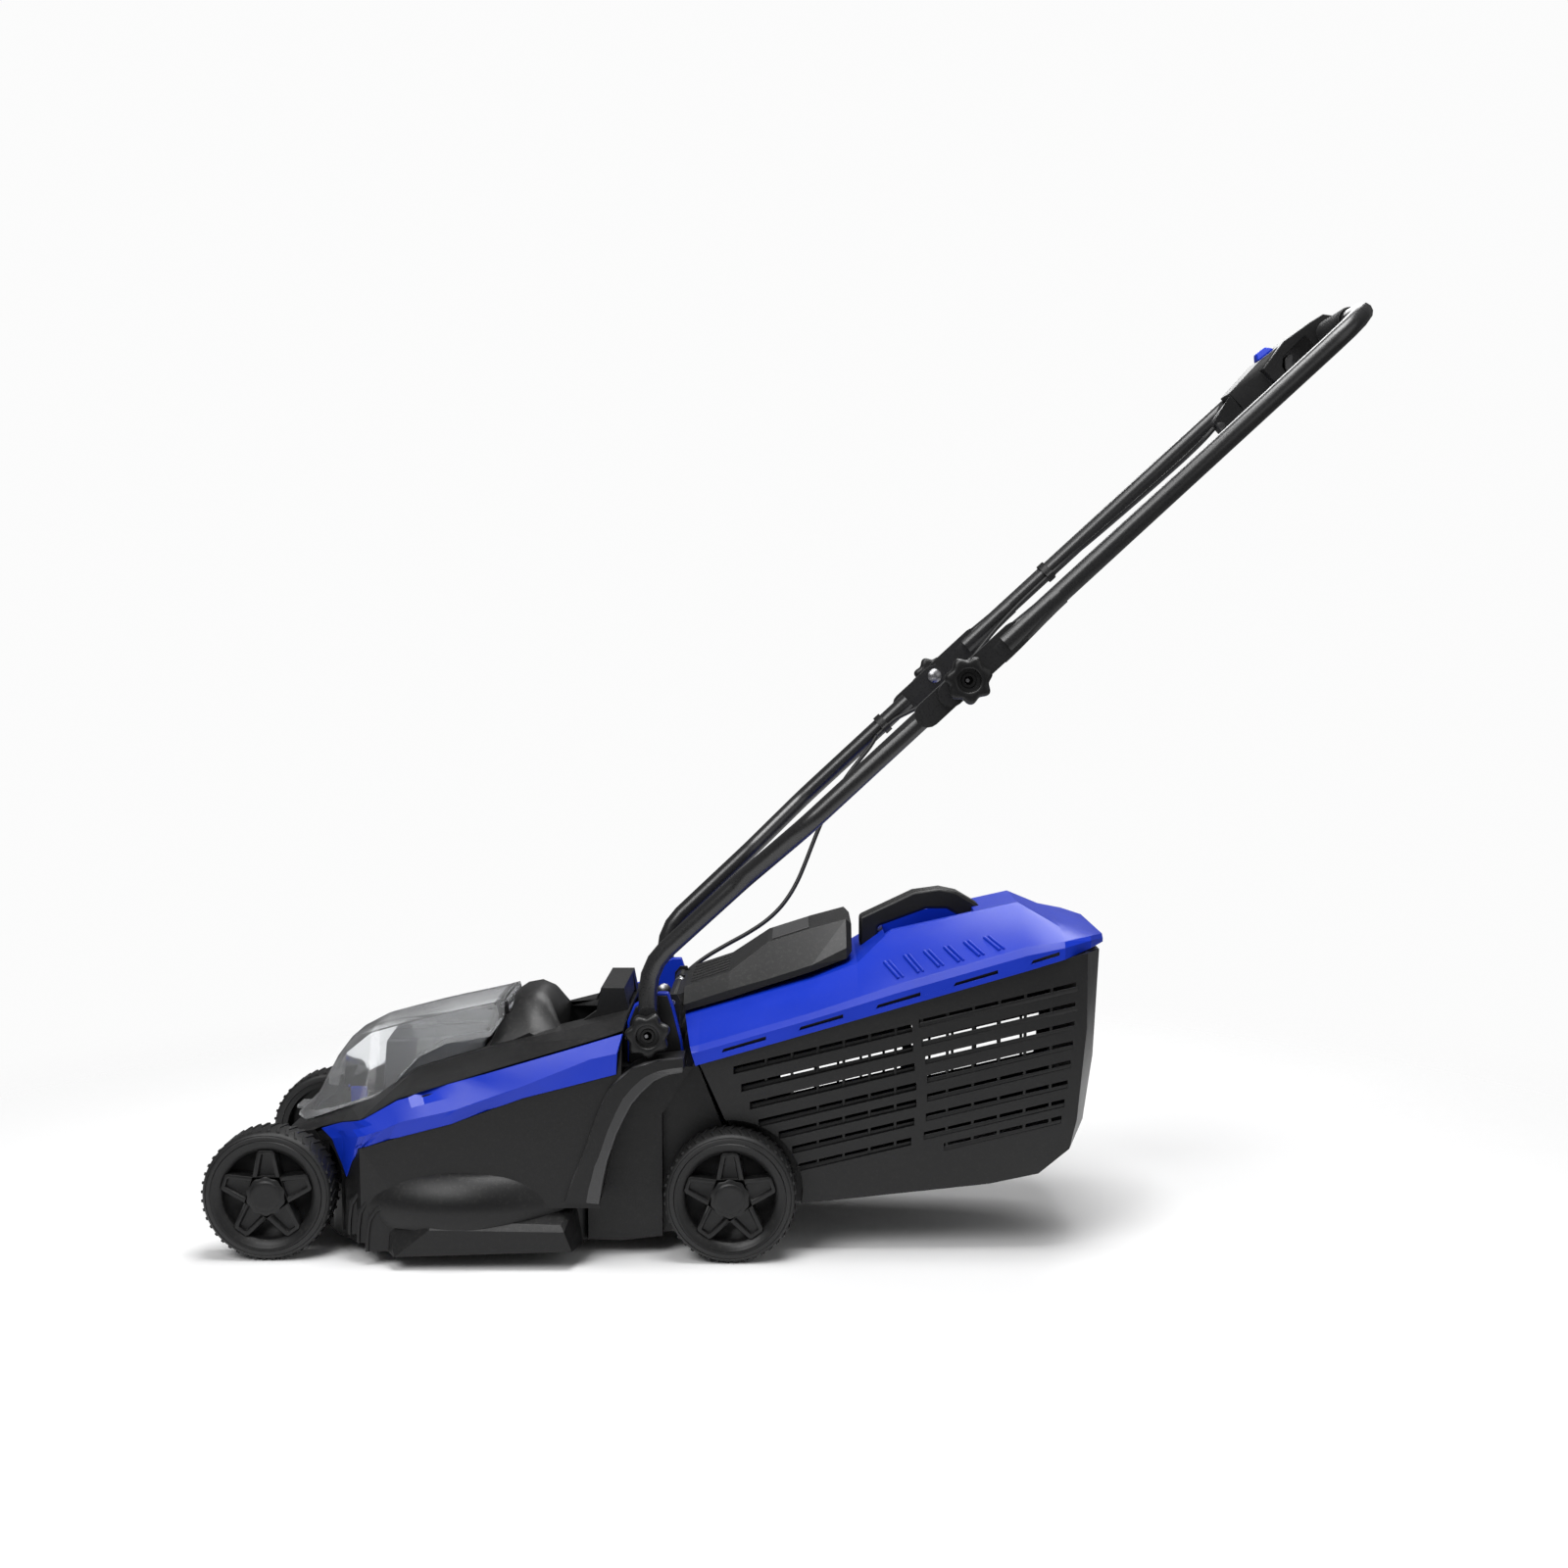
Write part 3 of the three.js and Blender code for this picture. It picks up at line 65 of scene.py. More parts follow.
def middleOf(node):
    low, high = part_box(node)
    return (low + high) / 2


frontAxle = middleOf("front_axle")


# a place given in millimetres behind the front axle, across, and above the ground
def at(x, y, z):
    return Vector((frontAxle.x + x * mm, y * mm, z * mm))


# ---- camera, light and floor ----
camera = {"behindFrontAxle": 549.7, "aside": -2050, "height": 628, "lens": 42.75, "pitch": 3.94,
          "yaw": 0.36}
studio = {"keyPower": 52, "fillPower": 8, "rimPower": 30, "topPower": 52, "surround": 0.13,
          "backdrop": 0.97,
          "floorGrey": 0.9, "floorClear": 0.75, "floorFade": 1.5}


def setStudio():
    data = bpy.data.cameras.new("studioCamera")
    data.lens = camera["lens"]
    data.sensor_width = 36
    data.clip_end = 50
    view = bpy.data.objects.new("studioCamera", data)
    view.location = at(camera["behindFrontAxle"], camera["aside"], camera["height"])
    view.rotation_euler = (math.radians(90 - camera["pitch"]), 0, math.radians(camera["yaw"]))
    bpy.context.scene.collection.objects.link(view)
    bpy.context.scene.camera = view
    addLight("keyLight", (-1.3, -2.0, 2.4), (0, 0, 0.3), 1.6, studio["keyPower"])
    addLight("fillLight", (1.9, -1.8, 1.3), (0.1, 0, 0.35), 1.8, studio["fillPower"])
    addLight("rimLight", (0.6, 1.9, 2.2), (0, 0, 0.4), 1.4, studio["rimPower"])
    addLight("topLight", (0.1, -0.4, 2.6), (0, 0, 0.3), 1.2, studio["topPower"])
    setWorld()
    bpy.context.scene.view_settings.view_transform = "Standard"


# a white backdrop for the camera, and a darker surround for the reflections
def setWorld():
    world = bpy.data.worlds.new("studioWorld")
    world.use_nodes = True
    tree = world.node_tree
    seen = tree.nodes["Background"]
    white = studio["backdrop"]
    grey = studio["surround"]
    seen.inputs["Color"].default_value = (white, white, white, 1)
    around = tree.nodes.new("ShaderNodeBackground")
    around.inputs["Color"].default_value = (grey, grey, grey * 1.02, 1)
    ray = tree.nodes.new("ShaderNodeLightPath")
    choice = tree.nodes.new("ShaderNodeMixShader")
    tree.links.new(ray.outputs["Is Camera Ray"], choice.inputs[0])
    tree.links.new(around.outputs[0], choice.inputs[1])
    tree.links.new(seen.outputs[0], choice.inputs[2])
    tree.links.new(choice.outputs[0], tree.nodes["World Output"].inputs["Surface"])
    bpy.context.scene.world = world


def addLight(name, place, target, size, power):
    data = bpy.data.lights.new(name, "AREA")
    data.shape = "SQUARE"
    data.size = size
    data.energy = power
    lamp = bpy.data.objects.new(name, data)
    lamp.location = Vector(place)
    lamp.rotation_euler = (Vector(target) - Vector(place)).to_track_quat("-Z", "Y").to_euler()
    bpy.context.scene.collection.objects.link(lamp)


# pale paper that fades into the backdrop away from the machine
def addFloor():
    bm = bmesh.new()
    bmesh.ops.create_circle(bm, cap_ends=True, segments=96, radius=4)
    floor = toObject(bm, "studioFloor")
    floor.location.z = -0.0005
    material = bpy.data.materials.new("floorPaper")
    material.use_nodes = True
    tree = material.node_tree
    shader = tree.nodes["Principled BSDF"]
    grey = studio["floorGrey"]
    shader.inputs["Base Color"].default_value = (grey, grey, grey, 1)
    shader.inputs["Roughness"].default_value = 0.9
    shader.inputs["Specular IOR Level"].default_value = 0.1
    coordinates = tree.nodes.new("ShaderNodeTexCoord")
    length = tree.nodes.new("ShaderNodeVectorMath")
    length.operation = "LENGTH"
    tree.links.new(coordinates.outputs["Object"], length.inputs[0])
    fade = tree.nodes.new("ShaderNodeMapRange")
    fade.interpolation_type = "SMOOTHSTEP"
    tree.links.new(length.outputs["Value"], fade.inputs["Value"])
    fade.inputs["From Min"].default_value = studio["floorClear"]
    fade.inputs["From Max"].default_value = studio["floorFade"]
    fade.inputs["To Min"].default_value = 1
    fade.inputs["To Max"].default_value = 0
    tree.links.new(fade.outputs["Result"], shader.inputs["Alpha"])
    floor.data.materials.append(material)


def toObject(bm, name):
    mesh = bpy.data.meshes.new(name)
    bm.to_mesh(mesh)
    bm.free()
    thing = bpy.data.objects.new(name, mesh)
    bpy.context.scene.collection.objects.link(thing)
    return thing


# ---- shared shader groups ----
def newGroup(name, inputs, outputs):
    group = bpy.data.node_groups.new(name, "ShaderNodeTree")
    for label, value in inputs:
        socket = group.interface.new_socket(name=label, in_out="INPUT", socket_type="NodeSocketFloat")
        socket.default_value = value
    for label in outputs:
        group.interface.new_socket(name=label, in_out="OUTPUT", socket_type="NodeSocketFloat")
    return group


def addNode(tree, kind, **settings):
    node = tree.nodes.new(kind)
    for key, value in settings.items():
        setattr(node, key, value)
    return node


def noiseNode(tree, vector, scale, detail=2.0, roughness=0.5):
    node = addNode(tree, "ShaderNodeTexNoise")
    tree.links.new(vector, node.inputs["Vector"])
    if isinstance(scale, (int, float)):
        node.inputs["Scale"].default_value = scale
    else:
        tree.links.new(scale, node.inputs["Scale"])
    node.inputs["Detail"].default_value = detail
    node.inputs["Roughness"].default_value = roughness
    return node.outputs["Fac"]


def mathNode(tree, operation, first, second):
    node = addNode(tree, "ShaderNodeMath", operation=operation)
    for i, value in enumerate((first, second)):
        if isinstance(value, (int, float)):
            node.inputs[i].default_value = value
        else:
            tree.links.new(value, node.inputs[i])
    return node.outputs[0]


def rangeNode(tree, value, low, high, outLow, outHigh):
    node = addNode(tree, "ShaderNodeMapRange")
    tree.links.new(value, node.inputs["Value"])
    for label, number in (("From Min", low), ("From Max", high), ("To Min", outLow), ("To Max", outHigh)):
        if isinstance(number, (int, float)):
            node.inputs[label].default_value = number
        else:
            tree.links.new(number, node.inputs[label])
    return node.outputs["Result"]


def objectVector(tree):
    return addNode(tree, "ShaderNodeTexCoord").outputs["Object"]


# fine pebbled texture of moulded plastic, as a height
def makeMouldGrain():
    group = newGroup("mouldGrain", [("pebbles", 1500.0), ("softness", 0.5)], ["height"])
    entry = addNode(group, "NodeGroupInput")
    leave = addNode(group, "NodeGroupOutput")
    place = objectVector(group)
    cells = addNode(group, "ShaderNodeTexVoronoi", feature="SMOOTH_F1")
    group.links.new(place, cells.inputs["Vector"])
    group.links.new(entry.outputs["pebbles"], cells.inputs["Scale"])
    group.links.new(entry.outputs["softness"], cells.inputs["Smoothness"])
    ripple = noiseNode(group, place, entry.outputs["pebbles"], 2.0, 0.6)
    total = mathNode(group, "ADD", cells.outputs["Distance"], mathNode(group, "MULTIPLY", ripple, 0.6))
    group.links.new(total, leave.inputs["height"])
    return group


# slow colour and gloss variation, fine dust and faint rubbed streaks
def makeHandling():
    group = newGroup("handlingMarks", [("blotch", 9.0), ("dustAmount", 0.3)], ["tone", "dust", "streaks"])
    entry = addNode(group, "NodeGroupInput")
    leave = addNode(group, "NodeGroupOutput")
    place = objectVector(group)
    tone = noiseNode(group, place, entry.outputs["blotch"], 4.0, 0.55)
    specks = noiseNode(group, place, 240.0, 3.0, 0.7)
    facing = addNode(group, "ShaderNodeSeparateXYZ")
    geometry = addNode(group, "ShaderNodeNewGeometry")
    group.links.new(geometry.outputs["Normal"], facing.inputs[0])
    upward = rangeNode(group, facing.outputs["Z"], 0.1, 1.0, 0.15, 1.0)
    settled = rangeNode(group, specks, 0.52, 0.72, 0.0, 1.0)
    resting = mathNode(group, "MULTIPLY", settled, upward)
    dust = mathNode(group, "MULTIPLY", resting, entry.outputs["dustAmount"])
    stretch = addNode(group, "ShaderNodeMapping")
    stretch.inputs["Scale"].default_value = (14, 260, 260)
    stretch.inputs["Rotation"].default_value = (0.2, 0.5, 0.3)
    group.links.new(place, stretch.inputs["Vector"])
    rubbed = noiseNode(group, stretch.outputs[0], 1.0, 3.0, 0.6)
    streaks = rangeNode(group, rubbed, 0.6, 0.75, 0.0, 1.0)
    group.links.new(tone, leave.inputs["tone"])
    group.links.new(dust, leave.inputs["dust"])
    group.links.new(streaks, leave.inputs["streaks"])
    return group


mouldGrain = makeMouldGrain()
handlingMarks = makeHandling()


def useGroup(tree, group, **values):
    node = addNode(tree, "ShaderNodeGroup")
    node.node_tree = group
    for label, value in values.items():
        node.inputs[label].default_value = value
    return node


def mixColour(tree, factor, first, second):
    node = addNode(tree, "ShaderNodeMix", data_type="RGBA")
    if isinstance(factor, (int, float)):
        node.inputs[0].default_value = factor
    else:
        tree.links.new(factor, node.inputs[0])
    for socket, value in ((node.inputs[6], first), (node.inputs[7], second)):
        if isinstance(value, tuple):
            socket.default_value = (*value, 1)
        else:
            tree.links.new(value, socket)
    return node.outputs[2]


def scaled(colour, factor):
    return tuple(min(channel * factor, 1.0) for channel in colour)


def startMaterial(name):
    material = bpy.data.materials.new(name)
    material.use_nodes = True
    tree = material.node_tree
    return material, tree, tree.nodes["Principled BSDF"]


def bumpFrom(tree, shader, height, depth, strength=1.0):
    bump = addNode(tree, "ShaderNodeBump")
    bump.inputs["Distance"].default_value = depth
    bump.inputs["Strength"].default_value = strength
    tree.links.new(height, bump.inputs["Height"])
    tree.links.new(bump.outputs[0], shader.inputs["Normal"])
    return bump


# uneven tone between two shares of the colour, with dust over it
def dustyColour(tree, shader, marks, colour, dark, light, dust):
    base = mixColour(tree, marks.outputs["tone"], scaled(colour, dark), scaled(colour, light))
    dusty = mixColour(tree, marks.outputs["dust"], base, dust)
    tree.links.new(dusty, shader.inputs["Base Color"])


# moulded plastic: pebbled grain, uneven tone, a little dust and rubbed streaks
def mouldedPlastic(name, look):
    material, tree, shader = startMaterial(name)
    marks = useGroup(tree, handlingMarks, blotch=9.0, dustAmount=look["dust"])
    dustyColour(tree, shader, marks, look["colour"], 0.86, 1.16, (0.2, 0.19, 0.17))
    rough = look["roughness"]
    gloss = rangeNode(tree, marks.outputs["tone"], 0.3, 0.7, rough - 0.05, rough + 0.06)
    rubbed = mathNode(tree, "SUBTRACT", gloss, mathNode(tree, "MULTIPLY", marks.outputs["streaks"], 0.06))
    tree.links.new(rubbed, shader.inputs["Roughness"])
    grain = useGroup(tree, mouldGrain, pebbles=look["pebbles"])
    bumpFrom(tree, shader, grain.outputs["height"], look["grainDepth"])
    shader.inputs["Specular IOR Level"].default_value = look.get("specular", 0.34)
    if look.get("coat"):
        shader.inputs["Coat Weight"].default_value = look["coat"]
        shader.inputs["Coat Roughness"].default_value = 0.16
    return material


# metal with drawn or turned lines along one axis
def metal(name, look):
    material, tree, shader = startMaterial(name)
    marks = useGroup(tree, handlingMarks, blotch=30.0, dustAmount=0.05)
    colour = look["colour"]
    base = mixColour(tree, marks.outputs["tone"], scaled(colour, 0.82), scaled(colour, 1.12))
    tree.links.new(base, shader.inputs["Base Color"])
    shader.inputs["Metallic"].default_value = look.get("metallic", 1.0)
    stretch = addNode(tree, "ShaderNodeMapping")
    stretch.inputs["Scale"].default_value = look["lines"]
    tree.links.new(objectVector(tree), stretch.inputs["Vector"])
    lines = noiseNode(tree, stretch.outputs[0], 1.0, 3.0, 0.6)
    rough = look["roughness"]
    tree.links.new(rangeNode(tree, lines, 0.3, 0.7, rough - 0.08, rough + 0.1), shader.inputs["Roughness"])
    bumpFrom(tree, shader, lines, 0.00001)
    return material


# powder coat on tube: fine orange peel under a thin clear gloss
def powderCoat(name, look):
    material, tree, shader = startMaterial(name)
    marks = useGroup(tree, handlingMarks, blotch=16.0, dustAmount=look["dust"])
    dustyColour(tree, shader, marks, look["colour"], 0.8, 1.25, (0.16, 0.16, 0.16))
    peel = noiseNode(tree, objectVector(tree), look["peel"], 2.0, 0.5)
    rough = look["roughness"]
    tree.links.new(rangeNode(tree, peel, 0.3, 0.7, rough - 0.05, rough + 0.07), shader.inputs["Roughness"])
    bumpFrom(tree, shader, peel, look["peelDepth"])
    shader.inputs["Coat Weight"].default_value = 0.25
    shader.inputs["Coat Roughness"].default_value = 0.3
    return material


# clear moulded plastic, slightly milky, with faint flow waves and fine scuffs
def clearPlastic(name, look):
    material, tree, shader = startMaterial(name)
    marks = useGroup(tree, handlingMarks, blotch=12.0, dustAmount=0.25)
    milk = mixColour(tree, marks.outputs["dust"], look["colour"], (0.8, 0.8, 0.8))
    tree.links.new(milk, shader.inputs["Base Color"])
    rough = look["roughness"]
    haze = rangeNode(tree, marks.outputs["streaks"], 0.0, 1.0, rough, rough + 0.12)
    tree.links.new(haze, shader.inputs["Roughness"])
    shader.inputs["Transmission Weight"].default_value = look["transmission"]
    shader.inputs["IOR"].default_value = 1.3
    shader.inputs["Specular IOR Level"].default_value = 0.7
    waves = noiseNode(tree, objectVector(tree), 22.0, 2.0, 0.4)
    bumpFrom(tree, shader, waves, 0.0006, 0.35)
    return material


def rubber(name, look):
    material, tree, shader = startMaterial(name)
    marks = useGroup(tree, handlingMarks, blotch=22.0, dustAmount=look["dust"])
    dustyColour(tree, shader, marks, look["colour"], 0.8, 1.3, (0.15, 0.14, 0.12))
    rough = look["roughness"]
    tree.links.new(rangeNode(tree, marks.outputs["tone"], 0.3, 0.7, rough - 0.06, rough + 0.08),
                   shader.inputs["Roughness"])
    grain = useGroup(tree, mouldGrain, pebbles=look["pebbles"])
    bumpFrom(tree, shader, grain.outputs["height"], look["grainDepth"])
    return material


# each finish's look, and the record's slot that it belongs to; depths in metres
plastics = {
    "deckBlack": {"slot": "deck_black", "colour": (0.0075, 0.0075, 0.0078), "roughness": 0.4,
                  "pebbles": 1400.0, "grainDepth": 0.00007, "dust": 0.12},
    "coverBlack": {"slot": "cover_black", "colour": (0.011, 0.011, 0.0113), "roughness": 0.37,
                   "pebbles": 1500.0, "grainDepth": 0.00006, "dust": 0.12},
    "basketBlack": {"slot": "basket_black", "colour": (0.009, 0.009, 0.0093), "roughness": 0.4,
                    "pebbles": 1200.0, "grainDepth": 0.00008, "dust": 0.12},
    # painted highlight: the cover's black plastic lightened to grey, standing in for light caught on facets
    # that face the lamps
    "satinGrey": {"slot": "cover_black", "colour": (0.05, 0.05, 0.051), "roughness": 0.36,
                  "pebbles": 1500.0, "grainDepth": 0.00005, "dust": 0.1},
    # painted reflection: the deck's black plastic lightened to grey, standing in for the satin reflection
    # on the swept strip
    "archGrey": {"slot": "deck_black", "colour": (0.04, 0.04, 0.041), "roughness": 0.3,
                 "pebbles": 1500.0, "grainDepth": 0.00004, "dust": 0.06, "specular": 0.5},
    "royalBlue": {"slot": "band_blue", "colour": (0.003, 0.03, 0.47), "roughness": 0.36,
                  "pebbles": 1700.0, "grainDepth": 0.00003, "dust": 0.03, "coat": 0.06},
    "rimBlack": {"slot": "rim_black", "colour": (0.0085, 0.0085, 0.0088), "roughness": 0.37,
                 "pebbles": 1500.0, "grainDepth": 0.00005, "dust": 0.15},
    "batteryGrey": {"slot": "battery_grey", "colour": (0.06, 0.063, 0.068), "roughness": 0.45,
                    "pebbles": 1500.0, "grainDepth": 0.00005, "dust": 0.2},
}
coats = {
    "tubeBlack": {"slot": "tube_black", "colour": (0.014, 0.014, 0.0145), "roughness": 0.3,
                  "peel": 420.0, "peelDepth": 0.000012, "dust": 0.04},
}
rubbers = {
    "tyreRubber": {"slot": "tyre_black", "colour": (0.008, 0.008, 0.0083), "roughness": 0.52,
                   "pebbles": 1100.0, "grainDepth": 0.00008, "dust": 0.1},
    "softRubber": {"slot": "soft_rubber", "colour": (0.009, 0.009, 0.0093), "roughness": 0.5,
                   "pebbles": 1800.0, "grainDepth": 0.00005, "dust": 0.1},
}
metals = {
    "brightSteel": {"slot": "bright_steel", "colour": (0.62, 0.63, 0.65), "roughness": 0.28,
                    "lines": (900, 120, 900)},
    "bladeSteel": {"slot": "blade_steel", "colour": (0.12, 0.125, 0.13), "roughness": 0.42,
                   "lines": (60, 900, 900), "metallic": 0.9},
    "boltSteel": {"slot": "bright_steel", "colour": (0.3, 0.3, 0.31), "roughness": 0.34,
                  "lines": (900, 120, 900)},
    "motorCan": {"slot": "motor_can", "colour": (0.5, 0.51, 0.52), "roughness": 0.35,
                 "lines": (300, 300, 1500)},
}
clears = {
    "lidClear": {"slot": "lid_clear", "colour": (0.93, 0.94, 0.95), "roughness": 0.06,
                 "transmission": 0.93},
}
finishes = {}
for maker, looks in ((mouldedPlastic, plastics), (powderCoat, coats), (rubber, rubbers),
                     (metal, metals), (clearPlastic, clears)):
    for finishName, finishLook in looks.items():
        finishes[finishName] = maker(finishName, finishLook)
print("materials ready")


# ---- pieces ----
def paint(piece, finish):
    piece.data.materials.clear()
    piece.data.materials.append(finishes[finish])


# gives a finished piece its material, its body and the node it stands for
def finishPiece(piece, finish, node=None, body=None):
    paint(piece, finish)
    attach(piece, body or bodyOf[node])
    if node:
        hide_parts(node)


# applies every modifier to a plain mesh
def bake(piece):
    bpy.context.view_layer.update()
    evaluated = piece.evaluated_get(bpy.context.evaluated_depsgraph_get())
    mesh = bpy.data.meshes.new_from_object(evaluated)
    piece.modifiers.clear()
    piece.data = mesh
    return piece


def smoothByAngle(mesh, degrees):
    mesh.polygons.foreach_set("use_smooth", [True] * len(mesh.polygons))
    mesh.set_sharp_from_angle(angle=math.radians(degrees))


def roundEdges(piece, width, segments=2, limit=37, smooth=38):
    bevel = piece.modifiers.new("roundEdges", "BEVEL")
    bevel.width = width * mm
    bevel.segments = segments
    bevel.limit_method = "ANGLE"
    bevel.angle_limit = math.radians(limit)
    bevel.use_clamp_overlap = True
    bevel.miter_outer = "MITER_ARC"
    smoothByAngle(piece.data, smooth)
    weighted = piece.modifiers.new("evenShade", "WEIGHTED_NORMAL")
    weighted.keep_sharp = True
    weighted.weight = 60
    return bake(piece)


def copyNode(node, name, width, segments=2, limit=37, smooth=38):
    bm = bmesh.new()
    bm.from_mesh(nodes[node].data)
    bmesh.ops.remove_doubles(bm, verts=bm.verts, dist=1e-5)
    bmesh.ops.dissolve_limit(bm, angle_limit=math.radians(0.6), verts=bm.verts, edges=bm.edges)
    piece = toObject(bm, name)
    return roundEdges(piece, width, segments, limit, smooth)


def camelName(node):
    words = node.split("_")
    return words[0] + "".join(word.capitalize() for word in words[1:])


# ---- mesh helpers ----
def newPiece(bm, name, smooth=38):
    bmesh.ops.remove_doubles(bm, verts=bm.verts, dist=1e-6)
    bmesh.ops.recalc_face_normals(bm, faces=bm.faces)
    piece = toObject(bm, name)
    smoothByAngle(piece.data, smooth)
    return piece


def moved(piece, offset):
    piece.data.transform(Matrix.Translation(offset))
    return piece


# places on a circle, from one axis to the other
def circle(centre, first, second, radius, segments):
    places = []
    for k in range(segments):
        angle = 2 * math.pi * k / segments
        places.append(centre + (first * math.cos(angle) + second * math.sin(angle)) * radius * mm)
    return places


# faces between rows of corners; round rows close on themselves
def addStrips(bm, rows, isRound=False):
    for first, second in zip(rows, rows[1:]):
        for i in range(len(first) if isRound else len(first) - 1):
            k = (i + 1) % len(first)
            bm.faces.new((first[i], first[k], second[k], second[i]))


# closes a stack of rings at both ends and makes it a piece
def cappedRings(bm, rings, name, smooth):
    addStrips(bm, rings, True)
    bm.faces.new(rings[0][::-1])
    bm.faces.new(rings[-1])
    return newPiece(bm, name, smooth)


# a search tree over a node's surface
def surfaceOf(node):
    bm = bmesh.new()
    bm.from_mesh(nodes[node].data)
    tree = BVHTree.FromBMesh(bm)
    bm.free()
    return tree


# a ring section turned about the Y axis; rows are (radius, distance outwards, lobe depth) in millimetres
def turned(rows, out, name, segments=72, lobes=0, phase=0.0, smooth=38):
    bm = bmesh.new()
    rings = []
    for radius, distance, depth in rows:
        ring = []
        for i in range(1 if radius == 0 else segments):
            angle = 2 * math.pi * i / segments
            r = radius + depth * math.cos(lobes * (angle - phase))
            place = Vector((r * math.sin(angle), distance * out, r * math.cos(angle)))
            ring.append(bm.verts.new(place * mm))
        rings.append(ring)
    closed = rows[0][0] > 0
    pairs = list(zip(rings, rings[1:] + rings[:1])) if closed else list(zip(rings, rings[1:]))
    for first, second in pairs:
        for i in range(segments):
            corners = [first[i % len(first)], first[(i + 1) % len(first)],
                       second[(i + 1) % len(second)], second[i % len(second)]]
            corners = list(dict.fromkeys(corners))
            if len(corners) > 2:
                bm.faces.new(corners)
    return newPiece(bm, name, smooth)


# a flat outline of (x, z) millimetres, filled between two distances along Y
def slab(outline, y0, y1, name, bevel=0.0, segments=2):
    bm = bmesh.new()
    near = [bm.verts.new((x * mm, y0 * mm, z * mm)) for x, z in outline]
    far = [bm.verts.new((x * mm, y1 * mm, z * mm)) for x, z in outline]
    bm.faces.new(near)
    bm.faces.new(far[::-1])
    for i in range(len(outline)):
        k = (i + 1) % len(outline)
        bm.faces.new((near[k], near[i], far[i], far[k]))
    piece = newPiece(bm, name)
    return roundEdges(piece, bevel, segments, 30) if bevel else piece


# a straight bar between two points with a flat section, width across Y
def bar(start, end, width, height, name, bevel=0.4):
    along = (end - start).normalized()
    side = Vector((0, 1, 0)) if abs(along.y) < 0.9 else Vector((1, 0, 0))
    up = along.cross(side).normalized()
    side = up.cross(along).normalized()
    bm = bmesh.new()
    ends = []
    for point in (start, end):
        corners = []
        for a, b in ((-1, -1), (1, -1), (1, 1), (-1, 1)):
            place = point + side * (a * width * mm / 2) + up * (b * height * mm / 2)
            corners.append(bm.verts.new(place))
        ends.append(corners)
    bm.faces.new(ends[0][::-1])
    bm.faces.new(ends[1])
    for i in range(4):
        k = (i + 1) % 4
        bm.faces.new((ends[0][i], ends[0][k], ends[1][k], ends[1][i]))
    return roundEdges(newPiece(bm, name), bevel, 2, 30)


# joins several pieces into the first
def joined(pieces, name):
    bm = bmesh.new()
    for piece in pieces:
        bm.from_mesh(piece.data)
        bpy.data.objects.remove(piece)
    whole = toObject(bm, name)
    smoothByAngle(whole.data, 38)
    return whole


# Geometry Nodes group: copies of one part along a row or round a ring
def makeCopier():
    group = bpy.data.node_groups.new("placeCopies", "GeometryNodeTree")
    face = group.interface
    face.new_socket(name="Geometry", in_out="INPUT", socket_type="NodeSocketGeometry")
    face.new_socket(name="part", in_out="INPUT", socket_type="NodeSocketObject")
    face.new_socket(name="count", in_out="INPUT", socket_type="NodeSocketInt")
    for label in ("start", "step", "turn", "turnStep", "growth"):
        face.new_socket(name=label, in_out="INPUT", socket_type="NodeSocketVector")
    face.new_socket(name="finish", in_out="INPUT", socket_type="NodeSocketMaterial")
    face.new_socket(name="Geometry", in_out="OUTPUT", socket_type="NodeSocketGeometry")
    entry = group.nodes.new("NodeGroupInput")
    leave = group.nodes.new("NodeGroupOutput")
    points = group.nodes.new("GeometryNodePoints")
    group.links.new(entry.outputs["count"], points.inputs["Count"])
    index = group.nodes.new("GeometryNodeInputIndex")

    def stepped(first, each):
        scale = group.nodes.new("ShaderNodeVectorMath")
        scale.operation = "SCALE"
        group.links.new(each, scale.inputs[0])
        group.links.new(index.outputs[0], scale.inputs["Scale"])
        total = group.nodes.new("ShaderNodeVectorMath")
        if first is None:
            total.inputs[1].default_value = (1, 1, 1)
        else:
            group.links.new(first, total.inputs[1])
        group.links.new(scale.outputs[0], total.inputs[0])
        return total.outputs[0]

    group.links.new(stepped(entry.outputs["start"], entry.outputs["step"]), points.inputs["Position"])
    source = group.nodes.new("GeometryNodeObjectInfo")
    source.inputs["As Instance"].default_value = True
    group.links.new(entry.outputs["part"], source.inputs["Object"])
    copies = group.nodes.new("GeometryNodeInstanceOnPoints")
    group.links.new(points.outputs[0], copies.inputs["Points"])
    group.links.new(source.outputs["Geometry"], copies.inputs["Instance"])
    group.links.new(stepped(entry.outputs["turn"], entry.outputs["turnStep"]), copies.inputs["Rotation"])
    group.links.new(stepped(None, entry.outputs["growth"]), copies.inputs["Scale"])
    both = group.nodes.new("GeometryNodeJoinGeometry")
    group.links.new(entry.outputs["Geometry"], both.inputs[0])
    group.links.new(copies.outputs[0], both.inputs[0])
    real = group.nodes.new("GeometryNodeRealizeInstances")
    group.links.new(both.outputs[0], real.inputs[0])
    paint = group.nodes.new("GeometryNodeSetMaterial")
    group.links.new(real.outputs[0], paint.inputs["Geometry"])
    group.links.new(entry.outputs["finish"], paint.inputs["Material"])
    group.links.new(paint.outputs[0], leave.inputs["Geometry"])
    return group


placeCopies = makeCopier()


def inputId(group, label):
    for item in group.interface.items_tree:
        if item.item_type == "SOCKET" and item.in_out == "INPUT" and item.name == label:
            return item.identifier
    return None


